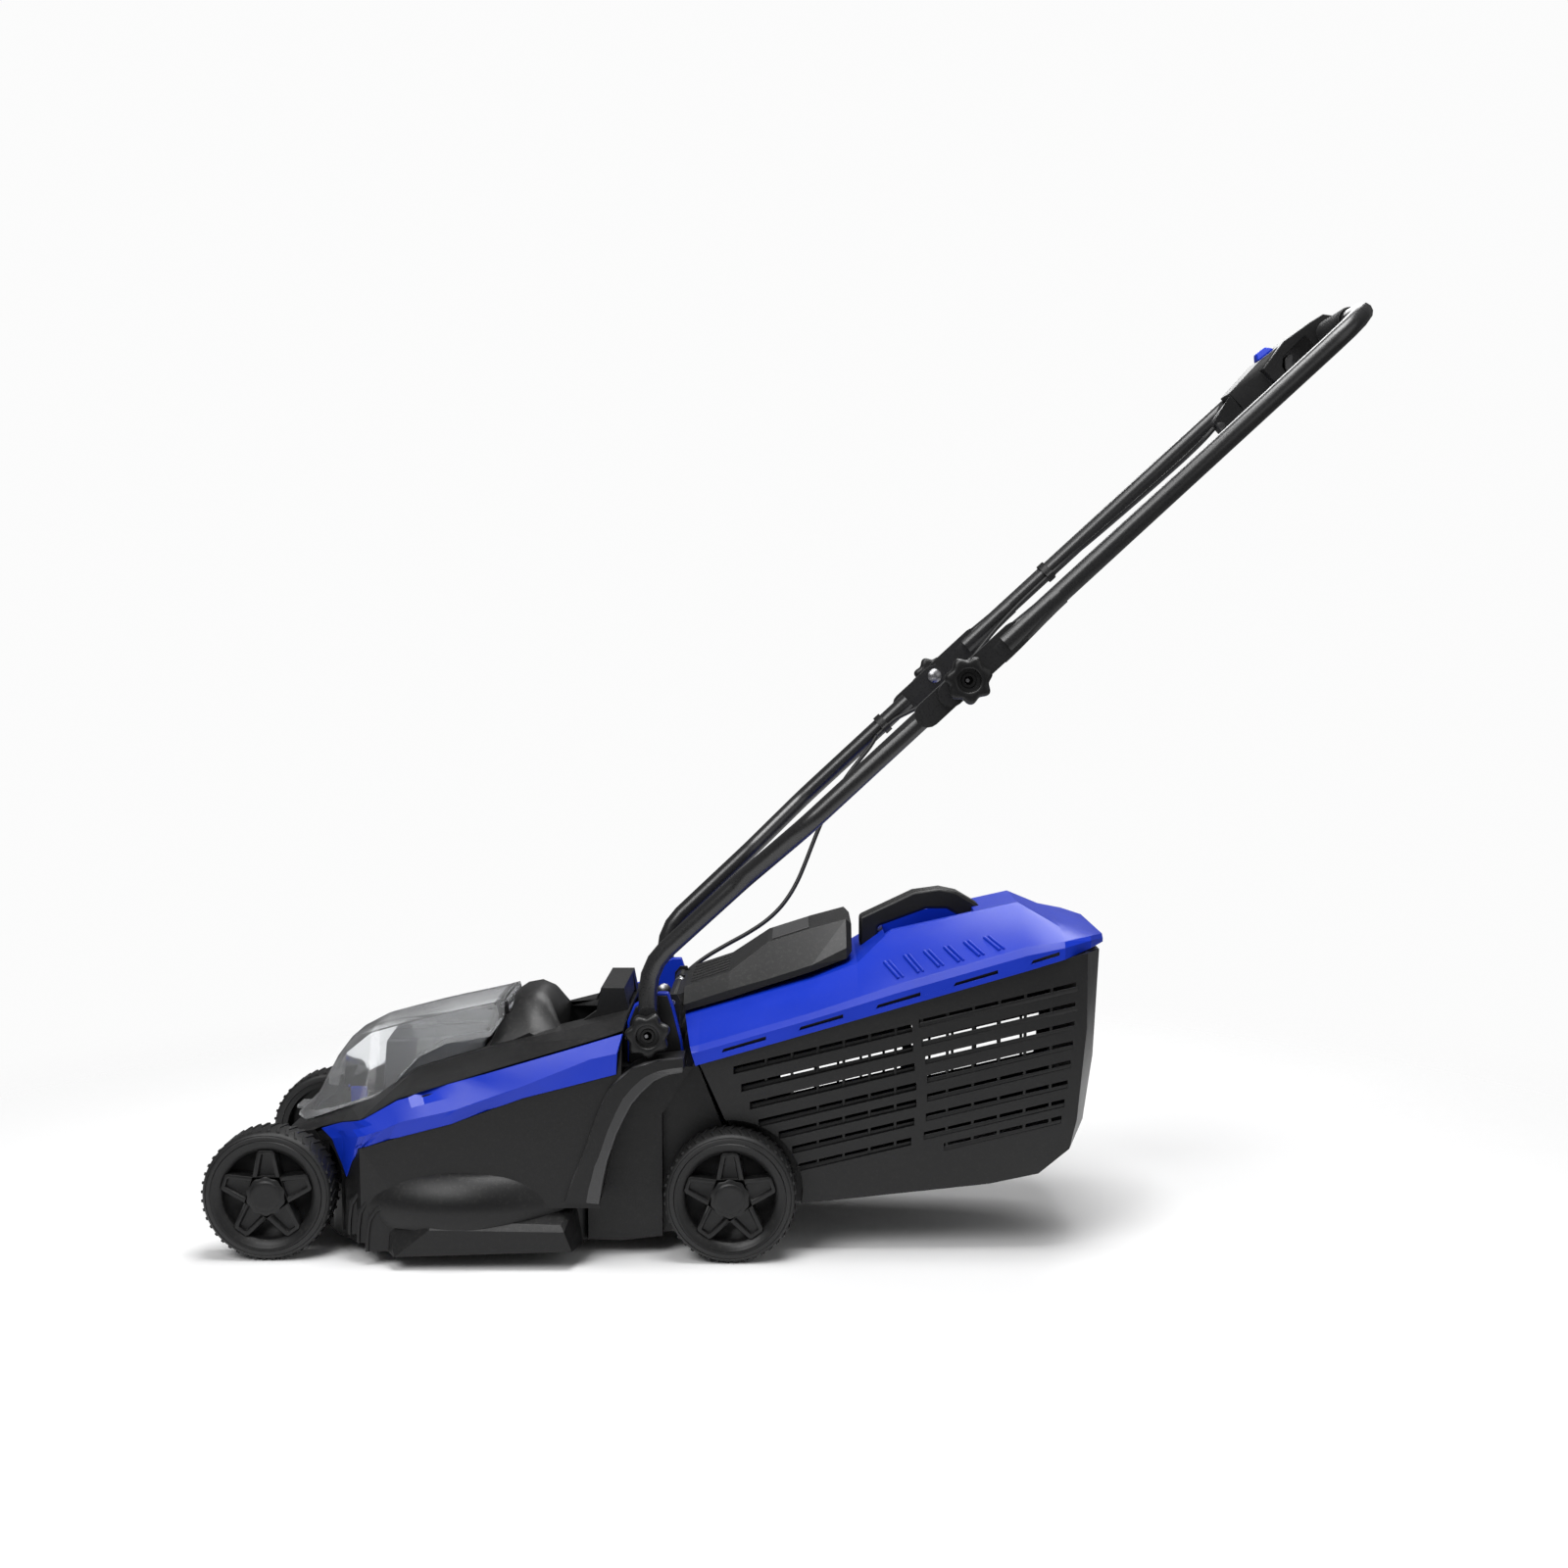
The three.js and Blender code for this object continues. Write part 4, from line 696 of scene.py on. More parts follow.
def addCopies(base, part, count, finish, **places):
    modifier = base.modifiers.new("copies", "NODES")
    modifier.node_group = placeCopies
    modifier[inputId(placeCopies, "part")] = part
    modifier[inputId(placeCopies, "count")] = count
    modifier[inputId(placeCopies, "finish")] = finishes[finish]
    for label, value in places.items():
        modifier[inputId(placeCopies, label)] = tuple(value)
    bake(base)
    bpy.data.objects.remove(part)
    smoothByAngle(base.data, 38)
    return base


def emptyPiece(name):
    return toObject(bmesh.new(), name)


# ---- wheels ----
wheelLook = {"radius": 68.5, "tread": 1.2, "blocks": 44, "half": 22, "spokes": 5, "spokeTip": 47.5,
             "spokeWidth": 17.8, "spokeFoot": 14.2, "spokeWall": 3.6, "capRadius": 20.3, "capLobes": 10}


def wheelTyre(out, name):
    r = wheelLook["radius"] - wheelLook["tread"]
    half = wheelLook["half"]
    rows = [(58.5, -half + 2, 0), (r - 4, -half + 2, 0), (r - 1.4, -half + 3.4, 0), (r, -half + 6, 0),
            (r, half - 8, 0), (r - 0.6, half - 5, 0), (r - 2.4, half - 3, 0), (r - 3.4, half - 2.5, 0),
            (r - 4, half - 3.1, 0), (r - 4.6, half - 2.5, 0), (60.5, half - 2, 0), (58.5, half - 2, 0)]
    tyre = turned(rows, out, name, 96, smooth=50)
    bm = bmesh.new()
    width = half * 2 - 9
    low = (r - 0.8) * mm
    high = wheelLook["radius"] * mm * 0.9985
    middle = -out * mm
    for side in (-1, 1):
        lower = []
        upper = []
        for reach, lean in ((0, -2.6), (0.5, 2.2), (0.5, 5.6), (0, 0.9)):
            y = middle + side * reach * width * mm
            lower.append(bm.verts.new((lean * mm, y, low)))
            upper.append(bm.verts.new((lean * 0.92 * mm, y, high)))
        bm.faces.new(lower)
        bm.faces.new(upper)
        for i in range(4):
            k = (i + 1) % 4
            bm.faces.new((lower[i], lower[k], upper[k], upper[i]))
    bmesh.ops.recalc_face_normals(bm, faces=bm.faces)
    block = toObject(bm, "treadBlock")
    turn = 2 * math.pi / wheelLook["blocks"]
    return addCopies(tyre, block, wheelLook["blocks"], "tyreRubber", turnStep=(0, turn, 0))


# one hollow spoke, pointing up: wide flat tip, raised walls round a sunken floor
def wheelSpoke(out):
    half = wheelLook["half"]
    tip = wheelLook["spokeTip"]
    w = wheelLook["spokeWidth"] / 2
    foot = wheelLook["spokeFoot"]
    t = wheelLook["spokeWall"]
    outer = [(-foot, 19.4), (-w, tip - 2.2), (-w + 2, tip), (w - 2, tip), (w, tip - 2.2), (foot, 19.4)]
    inner = [(-foot + t + 1, 20), (-w + t, tip - t - 1.4), (-w + t + 1, tip - t), (w - t - 1, tip - t),
             (w - t, tip - t - 1.4), (foot - t - 1, 20)]
    bm = bmesh.new()

    def loop(points, y):
        return [bm.verts.new((x * mm, y * out * mm, z * mm)) for x, z in points]

    base = loop([(x * 1.1, z * 1.01) for x, z in outer], half - 19)
    rim = loop(outer, half - 4.4)
    lip = loop(inner, half - 4.4)
    floor = loop([(x * 0.82, z * 0.985) for x, z in inner], half - 9.5)
    for first, second in ((base, rim), (rim, lip), (lip, floor)):
        for i in range(6):
            k = (i + 1) % 6
            bm.faces.new((first[i], first[k], second[k], second[i]))
    bm.faces.new(floor)
    bm.faces.new(base)
    return roundEdges(newPiece(bm, "spoke"), 0.9, 2, 25)


def wheelRim(out, name):
    half = wheelLook["half"]
    rows = [(5.4, -half + 3, 0), (14, -half + 3, 0), (14, half - 21, 0), (46, half - 21, 0),
            (52, half - 20, 0),
            (52, -half + 3, 0), (58.1, -half + 3, 0), (58.1, half - 1.6, 0), (57.5, half - 1, 0),
            (55.2, half - 1, 0), (54.4, half - 1.8, 0), (53.2, half - 2.2, 0), (47.4, half - 6.4, 0),
            (46.6, half - 8, 0), (46.2, half - 17.4, 0), (24, half - 17.8, 0), (5.4, half - 17.8, 0)]
    rim = turned(rows, out, name, 96)
    turn = 2 * math.pi / wheelLook["spokes"]
    return addCopies(rim, wheelSpoke(out), wheelLook["spokes"], "rimBlack", turnStep=(0, turn, 0))


def wheelCap(out, name):
    half = wheelLook["half"]
    r = wheelLook["capRadius"]
    rows = [(0, half - 4, 0), (5, half - 4, 0), (5, half - 3.4, 0), (r - 1.2, half - 3.4, 0.7),
            (r - 0.4, half - 2.8, 0.7), (r - 0.4, half - 1.6, 0.7), (r - 1.4, half - 0.9, 0.6),
            (16.8, half - 0.7, 0), (15.8, half - 0.1, 0), (15.4, half + 0.4, 0), (14.2, half + 0.95, 0),
            (11, half + 0.8, 0), (0, half + 0.6, 0)]
    return turned(rows, out, name, 96, wheelLook["capLobes"], smooth=50)


def addWheels():
    makers = {"tyre": (wheelTyre, "tyreRubber"), "rim": (wheelRim, "rimBlack"),
              "hub_cap": (wheelCap, "rimBlack")}
    for end in ("front", "rear"):
        for hand, out in sides:
            middle = middleOf(f"{end}_wheel_{hand}_tyre")
            for part, (maker, finish) in makers.items():
                node = f"{end}_wheel_{hand}_{part}"
                piece = maker(out, camelName(node))
                moved(piece, middle)
                finishPiece(piece, finish, node)


# ---- fluted knobs and their bolts ----
knobLook = {"radius": 24, "lobes": 7, "lobeDepth": 2.1, "lobeInset": 2.2, "thickness": 21, "recess": 11.5}


# bolts, with a small rounded tip in place of the square end
def addBolts():
    for level in ("lower", "mid"):
        for hand, out in sides:
            node = f"{level}_bolt_{hand}"
            low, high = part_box(node)
            tip = high.y if out > 0 else low.y
            middle = middleOf(node)
            bolt = copyNode(node, camelName(node), 0.3)
            for vertex in bolt.data.vertices:
                if abs(vertex.co.y - tip) < 1.2 * mm:
                    vertex.co.x = middle.x + (vertex.co.x - middle.x) * 0.5
                    vertex.co.z = middle.z + (vertex.co.z - middle.z) * 0.5
            finishPiece(bolt, "boltSteel", node)


def addKnobs():
    r = knobLook["radius"] - knobLook["lobeInset"]
    d = knobLook["lobeDepth"]
    t = knobLook["thickness"]
    dish = knobLook["recess"]
    rows = [(4.4, 0, 0), (13, 0, 0), (13, 4.6, 0), (r - 5, 5.2, d * 0.5), (r - 1.6, 6, d * 0.9),
            (r - 0.2, 7.6, d), (r, 10, d), (r - 0.2, t - 3.4, d), (r - 1.2, t - 1.4, d * 0.95),
            (r - 3.4, t - 0.3, d * 0.7), (r - 6, t, d * 0.2), (dish + 1.6, t, 0), (dish + 0.6, t - 0.5, 0),
            (dish, t - 1.4, 0), (dish - 0.4, t - 7.4, 0), (7.4, t - 8, 0), (7, t - 6.8, 0),
            (4.4, t - 6.8, 0)]
    for level in ("lower", "mid"):
        for hand, out in sides:
            node = f"{level}_knob_{hand}"
            low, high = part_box(node)
            base = low.y if out > 0 else high.y
            knob = turned(rows, out, camelName(node), 112, knobLook["lobes"], 0.35, 50)
            moved(knob, Vector(((low.x + high.x) / 2, base, (low.z + high.z) / 2)))
            finishPiece(knob, "rimBlack", node)


# ---- coloured side bands, with a ridge between a lighter upper and a darker lower face ----
bandLook = {"ridge": 4.6, "thickness": 3.4, "edge": 0.7, "cuts": 4, "lift": 0.2}
bandTop = [(48, 129.5), (74, 140), (104, 151), (139, 171), (185, 185), (231, 199), (300, 219.5), (372, 241)]
bandRidge = [(62, 121), (92, 131), (125, 142), (145, 151), (203, 164), (270, 188), (340, 216), (367, 222)]
bandLow = [(67, 106), (78, 82), (96, 120), (142, 134), (196, 148), (270, 175), (318, 187.5), (366, 200)]


# points halfway between two rows, kept just outside the solid's surface
def betweenRows(bm, first, second, surface, out):
    row = []
    for a, b in zip(first, second):
        middle = (a.co + b.co) / 2
        skin = surface((middle.x - frontAxle.x) / mm, middle.z / mm) * mm
        middle.y = out * max(abs(middle.y), abs(skin) + 0.3 * mm)
        row.append(bm.verts.new(middle))
    return row


def addBands():
    for hand, out in sides:
        node = f"side_band_{hand}"
        tree = surfaceOf(node)

        def surface(x, z):
            origin = at(x, out * 400, z)
            for lift in (0, -0.6, 0.6, -1.5, 1.5, -3, 3):
                for slide in (0, 1, -1, 2.5, -2.5):
                    start = origin + Vector((slide * mm, 0, lift * mm))
                    hit = tree.ray_cast(start, Vector((0, -out, 0)))
                    if hit[0] is not None:
                        return hit[0].y / mm
            return tree.find_nearest(at(x, out * 150, z))[0].y / mm

        bm = bmesh.new()
        rows = []
        for line, lift in ((bandTop, bandLook["lift"]), (bandRidge, bandLook["ridge"]),
                           (bandLow, bandLook["lift"])):
            fine = []
            for i in range(len(line) - 1):
                (x0, z0), (x1, z1) = line[i], line[i + 1]
                for k in range(bandLook["cuts"]):
                    share = k / bandLook["cuts"]
                    fine.append((x0 + (x1 - x0) * share, z0 + (z1 - z0) * share))
            fine.append(line[-1])
            rows.append([bm.verts.new(at(x, surface(x, z) + out * lift, z)) for x, z in fine])
        rows = [rows[0], betweenRows(bm, rows[0], rows[1], surface, out), rows[1],
                betweenRows(bm, rows[1], rows[2], surface, out), rows[2]]
        addStrips(bm, rows)
        band = newPiece(bm, camelName(node), 12)
        if band.data.polygons[0].normal.y * out < 0:
            band.data.flip_normals()
        wall = band.modifiers.new("wall", "SOLIDIFY")
        wall.thickness = bandLook["thickness"] * mm
        wall.offset = -1
        bake(band)
        roundEdges(band, bandLook["edge"], 2, 40, 12)
        finishPiece(band, "royalBlue", node)


# ---- handle brackets: a black outer plate set in a blue one ----
bracketLook = {"plate": 2.2, "rim": 2.6}
bracketOutline = [(-109, 201), (-109, 245), (-102, 262), (-92, 268), (-76, 275), (-66, 275), (-60, 258),
                  (-52, 225),
                  (-49, 201)]
bracketMiddle = Vector((-79, 238))


def addBrackets():
    rearX = (middleOf("rear_axle").x - frontAxle.x) / mm
    foot = bracketOutline[0][1]
    for hand, out in sides:
        node = f"handle_bracket_{hand}"
        low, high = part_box(node)
        outer = (high.y if out > 0 else low.y) / mm
        blue = copyNode(node, camelName(node), 1.2)
        for vertex in blue.data.vertices:
            if abs(vertex.co.y / mm - outer) < 1.4:
                vertex.co.y -= out * bracketLook["plate"] * mm
        finishPiece(blue, "royalBlue", node)
        inset = []
        for x, z in bracketOutline:
            gap = Vector((x, z)) - bracketMiddle
            point = bracketMiddle + gap * (1 - bracketLook["rim"] / max(gap.length, 1))
            inset.append((rearX + point.x, point.y if z > foot else foot))
        plate = slab(inset, outer - out * (bracketLook["plate"] + 1), outer, camelName(node) + "Plate", 0.9)
        moved(plate, Vector((frontAxle.x, 0, 0)))
        finishPiece(plate, "coverBlack", None, "deck")
        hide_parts(node)


# ---- deck sides: smooth blade housing, swept strip ahead of the rear wheel in painted reflection grey, comb lips ----
deckLook = {"bladeAxis": 205, "rearAxle": 482, "combs": 3, "combPitch": 11, "combStep": 8, "combDrop": 6}
domeLook = {"keepBeyond": 150, "widest": 189, "inner": 165, "steps": 56}
archLook = {"inner": 160, "frontFace": 168.4, "rearFace": 174.2, "edge": 1.6}
domeProfile = [(40, 184), (47, 187), (55, 188.6), (63, 188.4), (71, 186.6), (79, 183), (86, 178.4),
               (92, 173),
               (97, 166.5)]
archFront = [(-170, 66), (-162, 92), (-151, 116), (-144, 137), (-137, 156), (-130, 173), (-123, 186),
             (-112, 198),
             (-100, 206), (-88, 211), (-74, 214), (-60, 216), (-47, 217)]
archRear = [(-134, 66), (-130, 90), (-125, 112), (-120, 126), (-116, 138), (-108, 155), (-100, 170),
            (-90, 182),
            (-77, 194), (-69, 198), (-62, 200.5), (-54, 202), (-47, 203)]
combProfile = [(34, 79), (20, 77), (9, 71), (3, 61), (0.8, 46), (0, 29)]


# a closed block between rows of corners that run round it
def addBlock(rows, name, smooth):
    bm = bmesh.new()
    rows = [[bm.verts.new(place) for place in row] for row in rows]
    addStrips(bm, rows + rows[:1])
    bm.faces.new([row[0] for row in rows])
    bm.faces.new([row[-1] for row in rows])
    return newPiece(bm, name, smooth)


def addDome(out, hand):
    steps = domeLook["steps"]
    reach = math.acos(domeLook["keepBeyond"] / domeLook["widest"])
    back = [(z, domeLook["inner"]) for z in (domeProfile[-1][0], domeProfile[0][0])]
    rows = []
    for z, r in domeProfile + back:
        row = []
        for i in range(steps + 1):
            angle = -reach + 2 * reach * i / steps
            row.append(at(deckLook["bladeAxis"] + r * math.sin(angle), out * r * math.cos(angle), z))
        rows.append(row)
    finishPiece(addBlock(rows, f"bladeHousing{hand}", 60), "deckBlack", None, "deck")


def addArch(out, hand):
    rows = []
    for line, y in ((archFront, archLook["inner"]), (archFront, archLook["frontFace"]),
                    (archRear, archLook["rearFace"]), (archRear, archLook["inner"])):
        rows.append([at(deckLook["rearAxle"] + x, out * y, z) for x, z in line])
    strip = roundEdges(addBlock(rows, f"archStrip{hand}", 34), archLook["edge"], 3, 40)
    # painted reflection: the black deck strip is painted light grey where it catches the light
    finishPiece(strip, "archGrey", None, "deck")


def addCombLips(out, hand):
    lips = []
    for i in range(deckLook["combs"]):
        x = deckLook["bladeAxis"] - 121 + i * deckLook["combPitch"]
        y = 152 + i * deckLook["combStep"]
        front = [(x + a, z - i * deckLook["combDrop"]) for a, z in combProfile]
        back = [(a + 3.4, z - 3) for a, z in front]
        lips.append(slab(front + back[::-1], out * (y - 4), out * (y + 2), "combLip", 1.0))
    whole = joined(lips, f"combLips{hand}")
    moved(whole, Vector((frontAxle.x, 0, 0)))
    finishPiece(whole, "deckBlack", None, "deck")


def addDeckSides():
    for hand, out in sides:
        for maker in (addDome, addArch, addCombLips):
            maker(out, hand.capitalize())


# ---- handle: swaged tube ends, the lead's collar and grip grooves ----
handleLook = {"slope": 42.7, "tubeAside": 214.4, "tubeRadius": 10.15, "flatHeight": 13.3,
              "flatThickness": 5.4,
              "from": 40, "to": 124, "rings": 18, "segments": 32}
gripLook = {"ribs": 19, "ribPitch": 4, "firstRib": 52}
ribProfile = [(12, -0.9, 0), (12.72, -0.9, 0), (13.1, -0.45, 0), (13.1, 0.45, 0), (12.72, 0.9, 0),
              (12, 0.9, 0)]
collarProfile = [(0, 9.6), (2, 10.8), (26, 15.5), (28, 15)]
crossbar = (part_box("grip_left")[0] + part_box("grip_right")[1]) / 2
slopeAngle = math.radians(handleLook["slope"])
handleWay = Vector((math.cos(slopeAngle), 0, math.sin(slopeAngle)))
handleUp = Vector((-handleWay.z, 0, handleWay.x))


# a place along the handle, across it and above it, from the middle of the crossbar, in millimetres
def onHandle(s, y, n):
    return crossbar + handleWay * s * mm + Vector((0, y * mm, 0)) + handleUp * n * mm


def blended(first, second, share):
    return first + (second - first) * share


# a tube that goes from a flat oval to round
def swagedEnd(origin, along, name):
    up = along.cross(Vector((0, 1, 0))).normalized()
    tube = handleLook["tubeRadius"]
    bm = bmesh.new()
    rings = []
    for i in range(handleLook["rings"] + 1):
        part = i / handleLook["rings"]
        ease = part * part * (3 - 2 * part)
        height = blended(handleLook["flatHeight"], tube, ease)
        thick = blended(handleLook["flatThickness"], tube, ease)
        power = 0.5 + 0.5 * ease
        centre = origin + along * blended(handleLook["from"], handleLook["to"], part) * mm
        ring = []
        for k in range(handleLook["segments"]):
            angle = 2 * math.pi * k / handleLook["segments"]
            across = math.copysign(abs(math.sin(angle)) ** power, math.sin(angle)) * thick
            lift = up * height * math.cos(angle)
            ring.append(bm.verts.new(centre + (lift + Vector((0, across, 0))) * mm))
        rings.append(ring)
    return cappedRings(bm, rings, name, 50)


# a solid turned about any direction; rows are (distance along, radius) in millimetres
def turnedAlong(rows, origin, along, name, segments=40):
    side = Vector((0, 1, 0))
    up = along.cross(side).normalized()
    bm = bmesh.new()
    rings = []
    for distance, radius in rows:
        places = circle(origin + along * distance * mm, side, up, radius, segments)
        rings.append([bm.verts.new(place) for place in places])
    return cappedRings(bm, rings, name, 40)


def addHandleDetails():
    for hand, out in sides:
        pivot = middleOf(f"mid_knob_{hand}")
        pivot.y = out * handleLook["tubeAside"] * mm
        end = swagedEnd(pivot, handleWay, f"swagedEnd{hand.capitalize()}")
        finishPiece(end, "tubeBlack", None, "handle_upper")
    collar = turnedAlong(collarProfile, onHandle(-141, 0, 1), handleWay, "switchCollar")
    # the collar takes the painted reflection grey (lightened deck black)
    finishPiece(collar, "archGrey", None, "handle_upper")
    for hand, out in sides:
        rib = turned(ribProfile, 1, "gripRib", 40)
        start = crossbar + Vector((0, out * gripLook["firstRib"] * mm, 0))
        ribs = addCopies(emptyPiece(f"gripRibs{hand.capitalize()}"), rib, gripLook["ribs"], "softRubber",
                         start=start, step=(0, out * gripLook["ribPitch"] * mm, 0))
        finishPiece(ribs, "softRubber", None, "handle_upper")


# ---- rear flap: ribs up the ramp, and a thin plate painted light grey as a painted highlight on the sloped face ----
flapLook = {"ribs": 6, "ribPitch": 19, "ribWidth": 2.6, "ribHeight": 2.2, "rampStart": 436,
            "rampHeight": 275.1,
            "rampLength": 41, "rampSlope": 16 / 48, "panelStart": 524, "panelLength": 40,
            "panelHeight": 320.2,
            "panelRise": 1.2, "panelSlope": 15 / 47, "panelHalf": 42}


def addFlapDetails():
    first = flapLook["rampStart"]
    length = flapLook["rampLength"]
    end = at(first + length, 0, length * flapLook["rampSlope"])
    rib = bar(at(first, 0, 0), end, flapLook["ribWidth"], flapLook["ribHeight"], "flapRib", 0.8)
    moved(rib, -at(first, 0, 0))
    pitch = flapLook["ribPitch"]
    start = at(first, -pitch * (flapLook["ribs"] - 1) / 2, flapLook["rampHeight"])
    ribs = addCopies(emptyPiece("flapRibs"), rib, flapLook["ribs"], "coverBlack", start=start,
                     step=(0, pitch * mm, 0))
    finishPiece(ribs, "coverBlack", None, "flap")
    x = flapLook["panelStart"]
    far = x + flapLook["panelLength"]
    low = flapLook["panelHeight"]
    high = low + flapLook["panelLength"] * flapLook["panelSlope"]
    rise = flapLook["panelRise"]
    half = flapLook["panelHalf"]
    panel = slab([(x, low), (far, high), (far, high + rise), (x, low + rise)], -half, half, "flapPanel",
                 0.4)
    moved(panel, Vector((frontAxle.x, 0, 0)))
    # painted highlight: the plate is black cover plastic painted light grey where light falls on the sloped
    # face
    finishPiece(panel, "satinGrey", None, "flap")


# ---- catcher lid: slanted raised strips and a lining behind the slots ----
catcherLook = {"front": 449, "parting": 204, "rise": 0.29, "strips": 6, "stripRise": 0.5, "firstStrip": 196,
               "stripPitch": 21, "stripOuter": 130, "stripInner": 104}


# a point on the catcher lid: behind the front corner, across, and above the parting line
def onCatcher(x, y, lift):
    return at(catcherLook["front"] + x, y, catcherLook["parting"] + x * catcherLook["rise"] + lift)


# the place on the lid's roof straight below a point
def onRoof(tree, x, y):
    above = onCatcher(x, y, 300)
    return tree.ray_cast(above, Vector((0, 0, -1)))[0] + Vector((0, 0, catcherLook["stripRise"] * mm))


def addCatcherDetails():
    tree = surfaceOf("catcher_lid")
    for hand, out in sides:
        side = hand.capitalize()
        ends = [onCatcher(x, out * 137, 8.5) for x in (12, 374)]
        lining = bar(*ends, 1.4, 9, f"slotLining{side}")
        finishPiece(lining, "basketBlack", None, "catcher")
        lines = []
        for i in range(catcherLook["strips"]):
            x = catcherLook["firstStrip"] + i * catcherLook["stripPitch"]
            start = onRoof(tree, x + 12, out * catcherLook["stripOuter"])
            end = onRoof(tree, x - 2, out * catcherLook["stripInner"])
            lines.append(bar(start, end, 3.4, 3.4, "strip", 1.2))
            aside = Vector((4.6 * mm, 0, 1.3 * mm))
            lines.append(bar(start + aside, end + aside, 2.2, 3.0, "stripLip", 0.9))
        strips = joined(lines, f"catcherStrips{side}")
        finishPiece(strips, "royalBlue", None, "catcher")


# ---- catcher basket: upright ribs and lips behind the slots; each slot is (start, end, height) ----
basketLook = {"ribPitch": 27, "ribWidth": 3.2, "lip": 5}
slotsAhead = [(36, 222, 193), (44, 223, 174), (53, 225, 155), (62, 227, 136), (83, 227, 123),
              (97, 225, 107),
              (104, 222, 88)]
slotsBehind = [(229, 392, 242), (232, 392, 222), (236, 391, 203), (238, 390, 183), (238, 388, 163),
               (237, 385, 142),
               (235, 382, 122), (256, 379, 110)]


def addBasketRibs():
    rows = []
    for out in (-1, 1):
        for x in range(70, 375, basketLook["ribPitch"]):
            top = onCatcher(x, out * 131.5, -14)
            foot = onCatcher(x, out * 124.5, 0)
            foot.z = (92 + x * 0.03) * mm
            if x < 110:
                foot.z = 150 * mm
            rows.append(bar(foot, top, 3.0, basketLook["ribWidth"], "rib", 0.6))
    for first, last, low in slotsAhead + slotsBehind:
        rise = (last - first) * 0.24
        for out in (-1, 1):
            y = out * (124 + (low - 62) * 0.05)
            lip = basketLook["lip"]
            start = onCatcher(first - 2, y, 0)
            end = onCatcher(last + 2, y, 0)
            start.z = (low + lip / 2 - 0.6) * mm
            end.z = (low + rise + lip / 2 - 0.6) * mm
            rows.append(bar(start, end, 2, lip, "slotLip", 0.5))
    ribs = joined(rows, "basketRibs")
    finishPiece(ribs, "basketBlack", None, "catcher")


# ---- leads ----
leadLook = {"radius": 2.5, "sides": 12}
leadAlongHandle = [
    (0.4726, 0, 0.8748), (0.4614, 0.004, 0.8618), (0.4452, 0.024, 0.8441), (0.4259, 0.062, 0.8236),
    (0.4052, 0.108, 0.8018), (0.3827, 0.152, 0.779), (0.3625, 0.184, 0.7596), (0.3459, 0.197, 0.7452),
    (0.3339, 0.2022, 0.7346), (0.3236, 0.2024, 0.7251), (0.3133, 0.2024, 0.7156), (0.2872, 0.2022, 0.6908),
    (0.2624, 0.2005, 0.6646), (0.2416, 0.196, 0.6399), (0.2252, 0.189, 0.6194), (0.2126, 0.183, 0.6036),
    (0.1993, 0.1805, 0.5886), (0.18, 0.1815, 0.5741), (0.1558, 0.184, 0.5619), (0.1392, 0.1859, 0.5533),
    (0.1312, 0.186, 0.5473), (0.121, 0.186, 0.5377), (0.116, 0.1856, 0.5328),
]
leadDown = [
    (0.1148, 0.1854, 0.5317), (0.106, 0.1815, 0.518), (0.092, 0.176, 0.501), (0.078, 0.17, 0.483),
    (0.066, 0.164, 0.464), (0.055, 0.158, 0.444), (0.045, 0.152, 0.423), (0.036, 0.146, 0.401),
    (0.028, 0.14, 0.381), (0.02, 0.135, 0.363), (0.01, 0.129, 0.346), (-0.002, 0.124, 0.331),
    (-0.018, 0.118, 0.317), (-0.039, 0.111, 0.304), (-0.064, 0.104, 0.291), (-0.088, 0.0995, 0.277),
    (-0.107, 0.0978, 0.262), (-0.1145, 0.0978, 0.251), (-0.116, 0.0978, 0.2436),
]


# points of a smooth curve through the given ones
def smoothPath(points, perSpan=5):
    places = [Vector(p) for p in points]
    ends = [places[0] * 2 - places[1], *places, places[-1] * 2 - places[-2]]
    path = []
    for i in range(len(places) - 1):
        a, b, c, d = ends[i:i + 4]
        for k in range(perSpan):
            t = k / perSpan
            path.append(0.5 * (2 * b + (c - a) * t + (2 * a - 5 * b + 4 * c - d) * t ** 2
                               + (3 * b - 3 * c + d - a) * t ** 3))
    path.append(places[-1])
    return path


def roundTube(path, radius, segments, name):
    bm = bmesh.new()
    rings = []
    normal = Vector((0, 0, 1)) if abs((path[1] - path[0]).normalized().z) < 0.8 else Vector((0, 1, 0))
    for i, point in enumerate(path):
        along = (path[min(i + 1, len(path) - 1)] - path[max(i - 1, 0)]).normalized()
        normal = (normal - along * normal.dot(along)).normalized()
        across = along.cross(normal)
        rings.append([bm.verts.new(place) for place in circle(point, normal, across, radius, segments)])
    return cappedRings(bm, rings, name, 50)


def addLead(name, points, replaced):
    path = smoothPath(points)
    lead = roundTube(path, leadLook["radius"], leadLook["sides"], name)
    paint(lead, "softRubber")
    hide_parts(*replaced)
    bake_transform(lead)


def addLeads():
    addLead("leadAlongHandle", leadAlongHandle, ("lead_upper", "lead_lower"))
    addLead("leadHanging", leadDown, ("lead_hanging",))


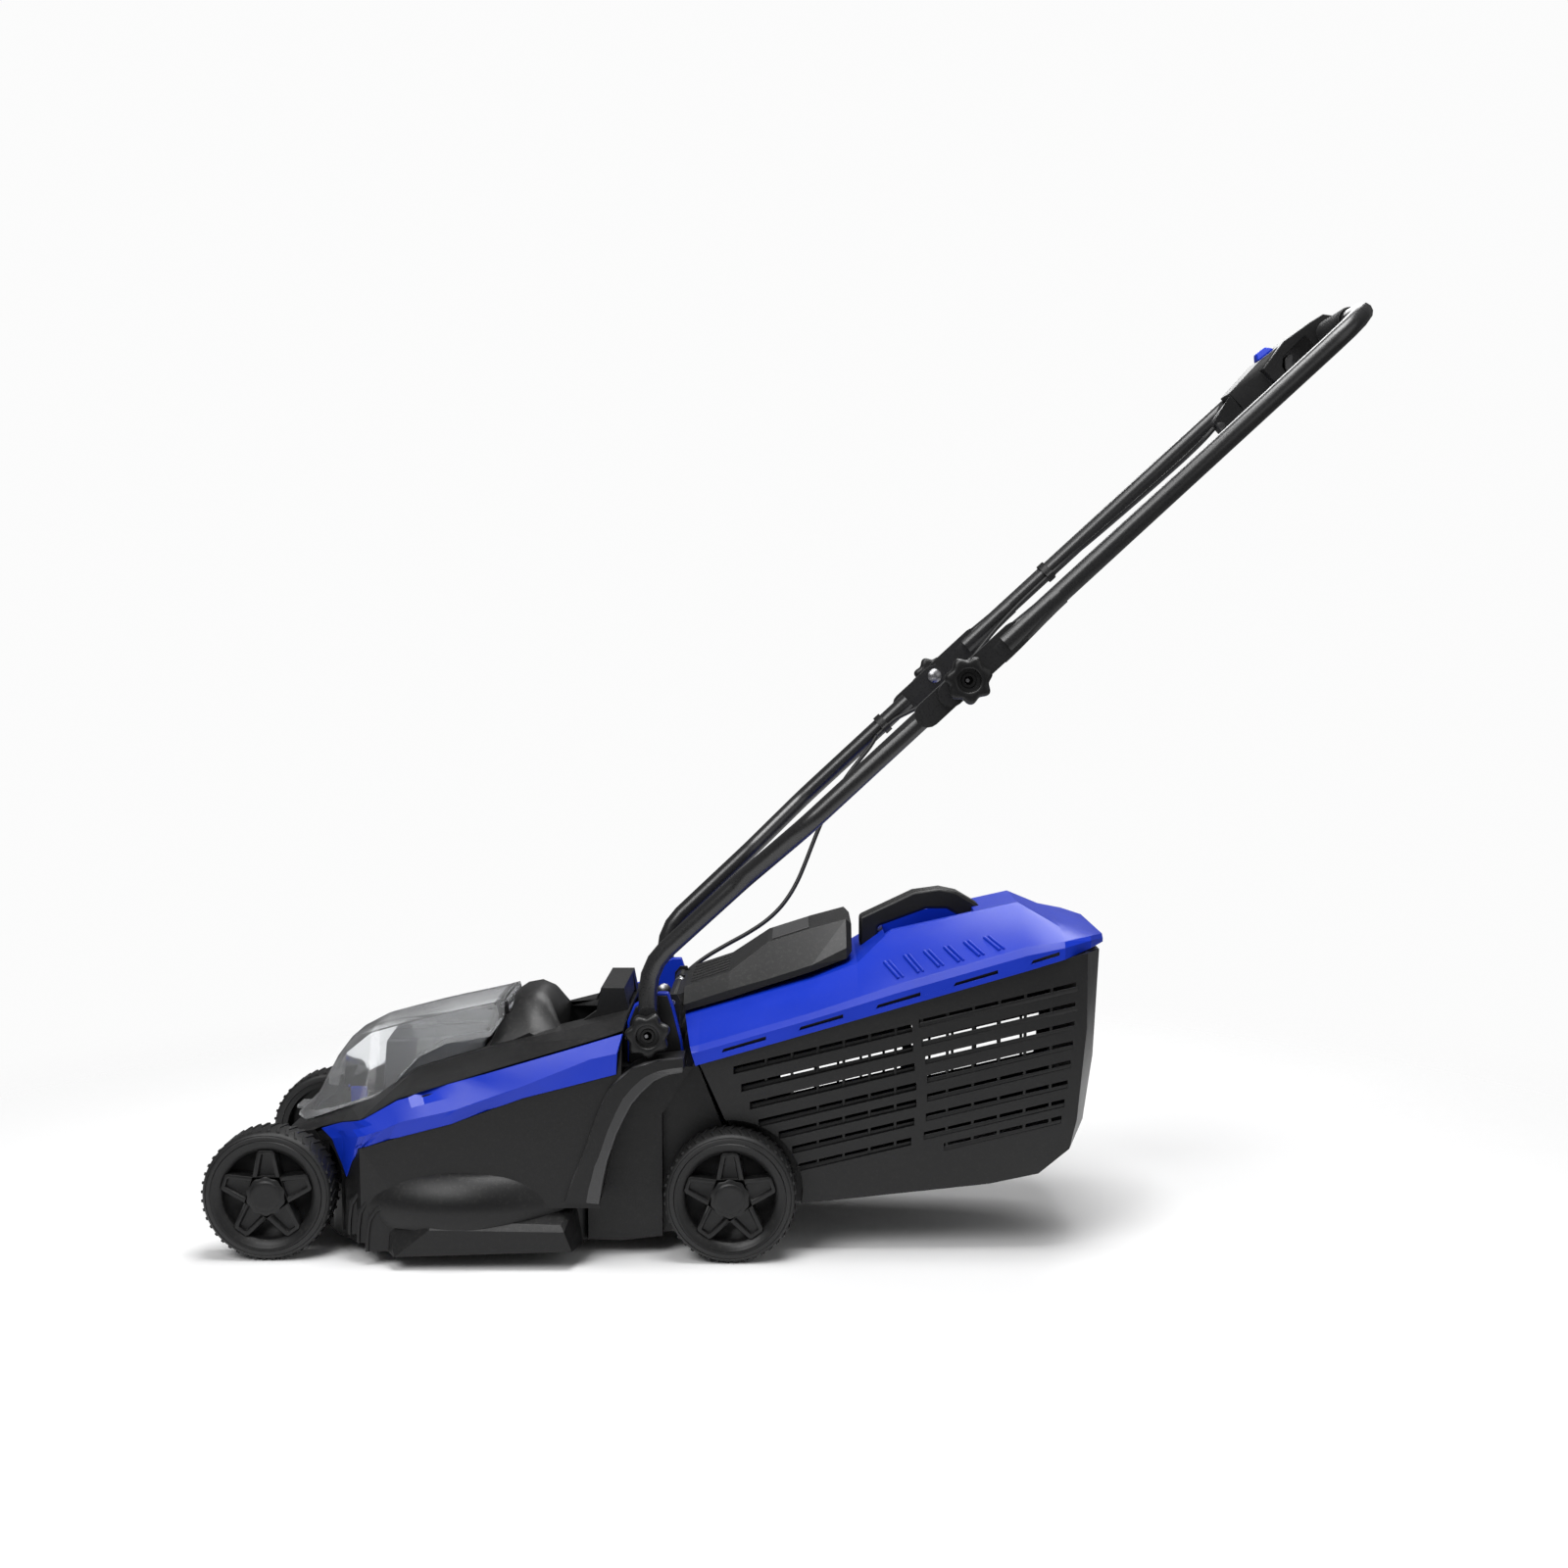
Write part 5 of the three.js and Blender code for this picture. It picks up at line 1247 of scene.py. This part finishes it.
# what each carried-over solid becomes: finish, edge radius in mm
softened = {
    "deck_shell": ("deckBlack", 1.2), "top_cover": ("coverBlack", 1.4), "battery_tray": ("coverBlack", 0.6),
    "battery_pack_left": ("batteryGrey", 3), "battery_pack_right": ("batteryGrey", 3),
    "battery_lid": ("lidClear", 0.8), "discharge_flap": ("coverBlack", 1.5),
    "catcher_lid": ("royalBlue", 1.5),
    "catcher_basket": ("basketBlack", 0.7), "catcher_handle": ("coverBlack", 3),
    "lower_tube_left": ("tubeBlack", 0.8), "lower_tube_right": ("tubeBlack", 0.8),
    "upper_handle": ("tubeBlack", 0.8), "switch_housing": ("coverBlack", 2),
    # the start lever takes the painted highlight grey (lightened cover black)
    "start_lever": ("satinGrey", 1),
    "lock_button": ("royalBlue", 1.5), "motor_housing": ("motorCan", 1),
    "controller_box": ("batteryGrey", 2),
    "safety_key": ("royalBlue", 0.8), "lead_gland": ("softRubber", 0.4),
    "lid_hinge_pin": ("brightSteel", 0.3),
    "flap_hinge_pin": ("brightSteel", 0.3), "flap_spring": ("brightSteel", 0), "blade": ("bladeSteel", 0.4),
    "blade_carrier": ("rimBlack", 0.6), "motor_shaft": ("brightSteel", 0.3),
    "blade_bolt": ("brightSteel", 0.6),
    "front_axle": ("brightSteel", 0.5), "rear_axle": ("brightSteel", 0.5), "grip_left": ("softRubber", 0.6),
    "grip_right": ("softRubber", 0.6), "lead_clip_upper": ("coverBlack", 0.5),
    "lead_clip_lower": ("coverBlack", 0.5),
}
crispNodes = {"catcher_lid", "discharge_flap", "deck_shell"}  # shallow facets keep their edges


def carryOver():
    for node, (finish, width) in softened.items():
        if width:
            crisp = node in crispNodes
            piece = copyNode(node, camelName(node), width, 2, 12 if crisp else 37, 14 if crisp else 38)
        else:
            piece = copyNode(node, camelName(node), 0.01, 1, 80)
        finishPiece(piece, finish, node)


setStudio()
addFloor()
carryOver()
print("carried-over pieces ready")
addWheels()
addKnobs()
addBolts()
addBands()
addBrackets()
addDeckSides()
print("wheels, knobs, bands and brackets ready")
addFlapDetails()
addCatcherDetails()
addBasketRibs()
addLeads()
addHandleDetails()
print("flap, catcher, leads and handle ready")
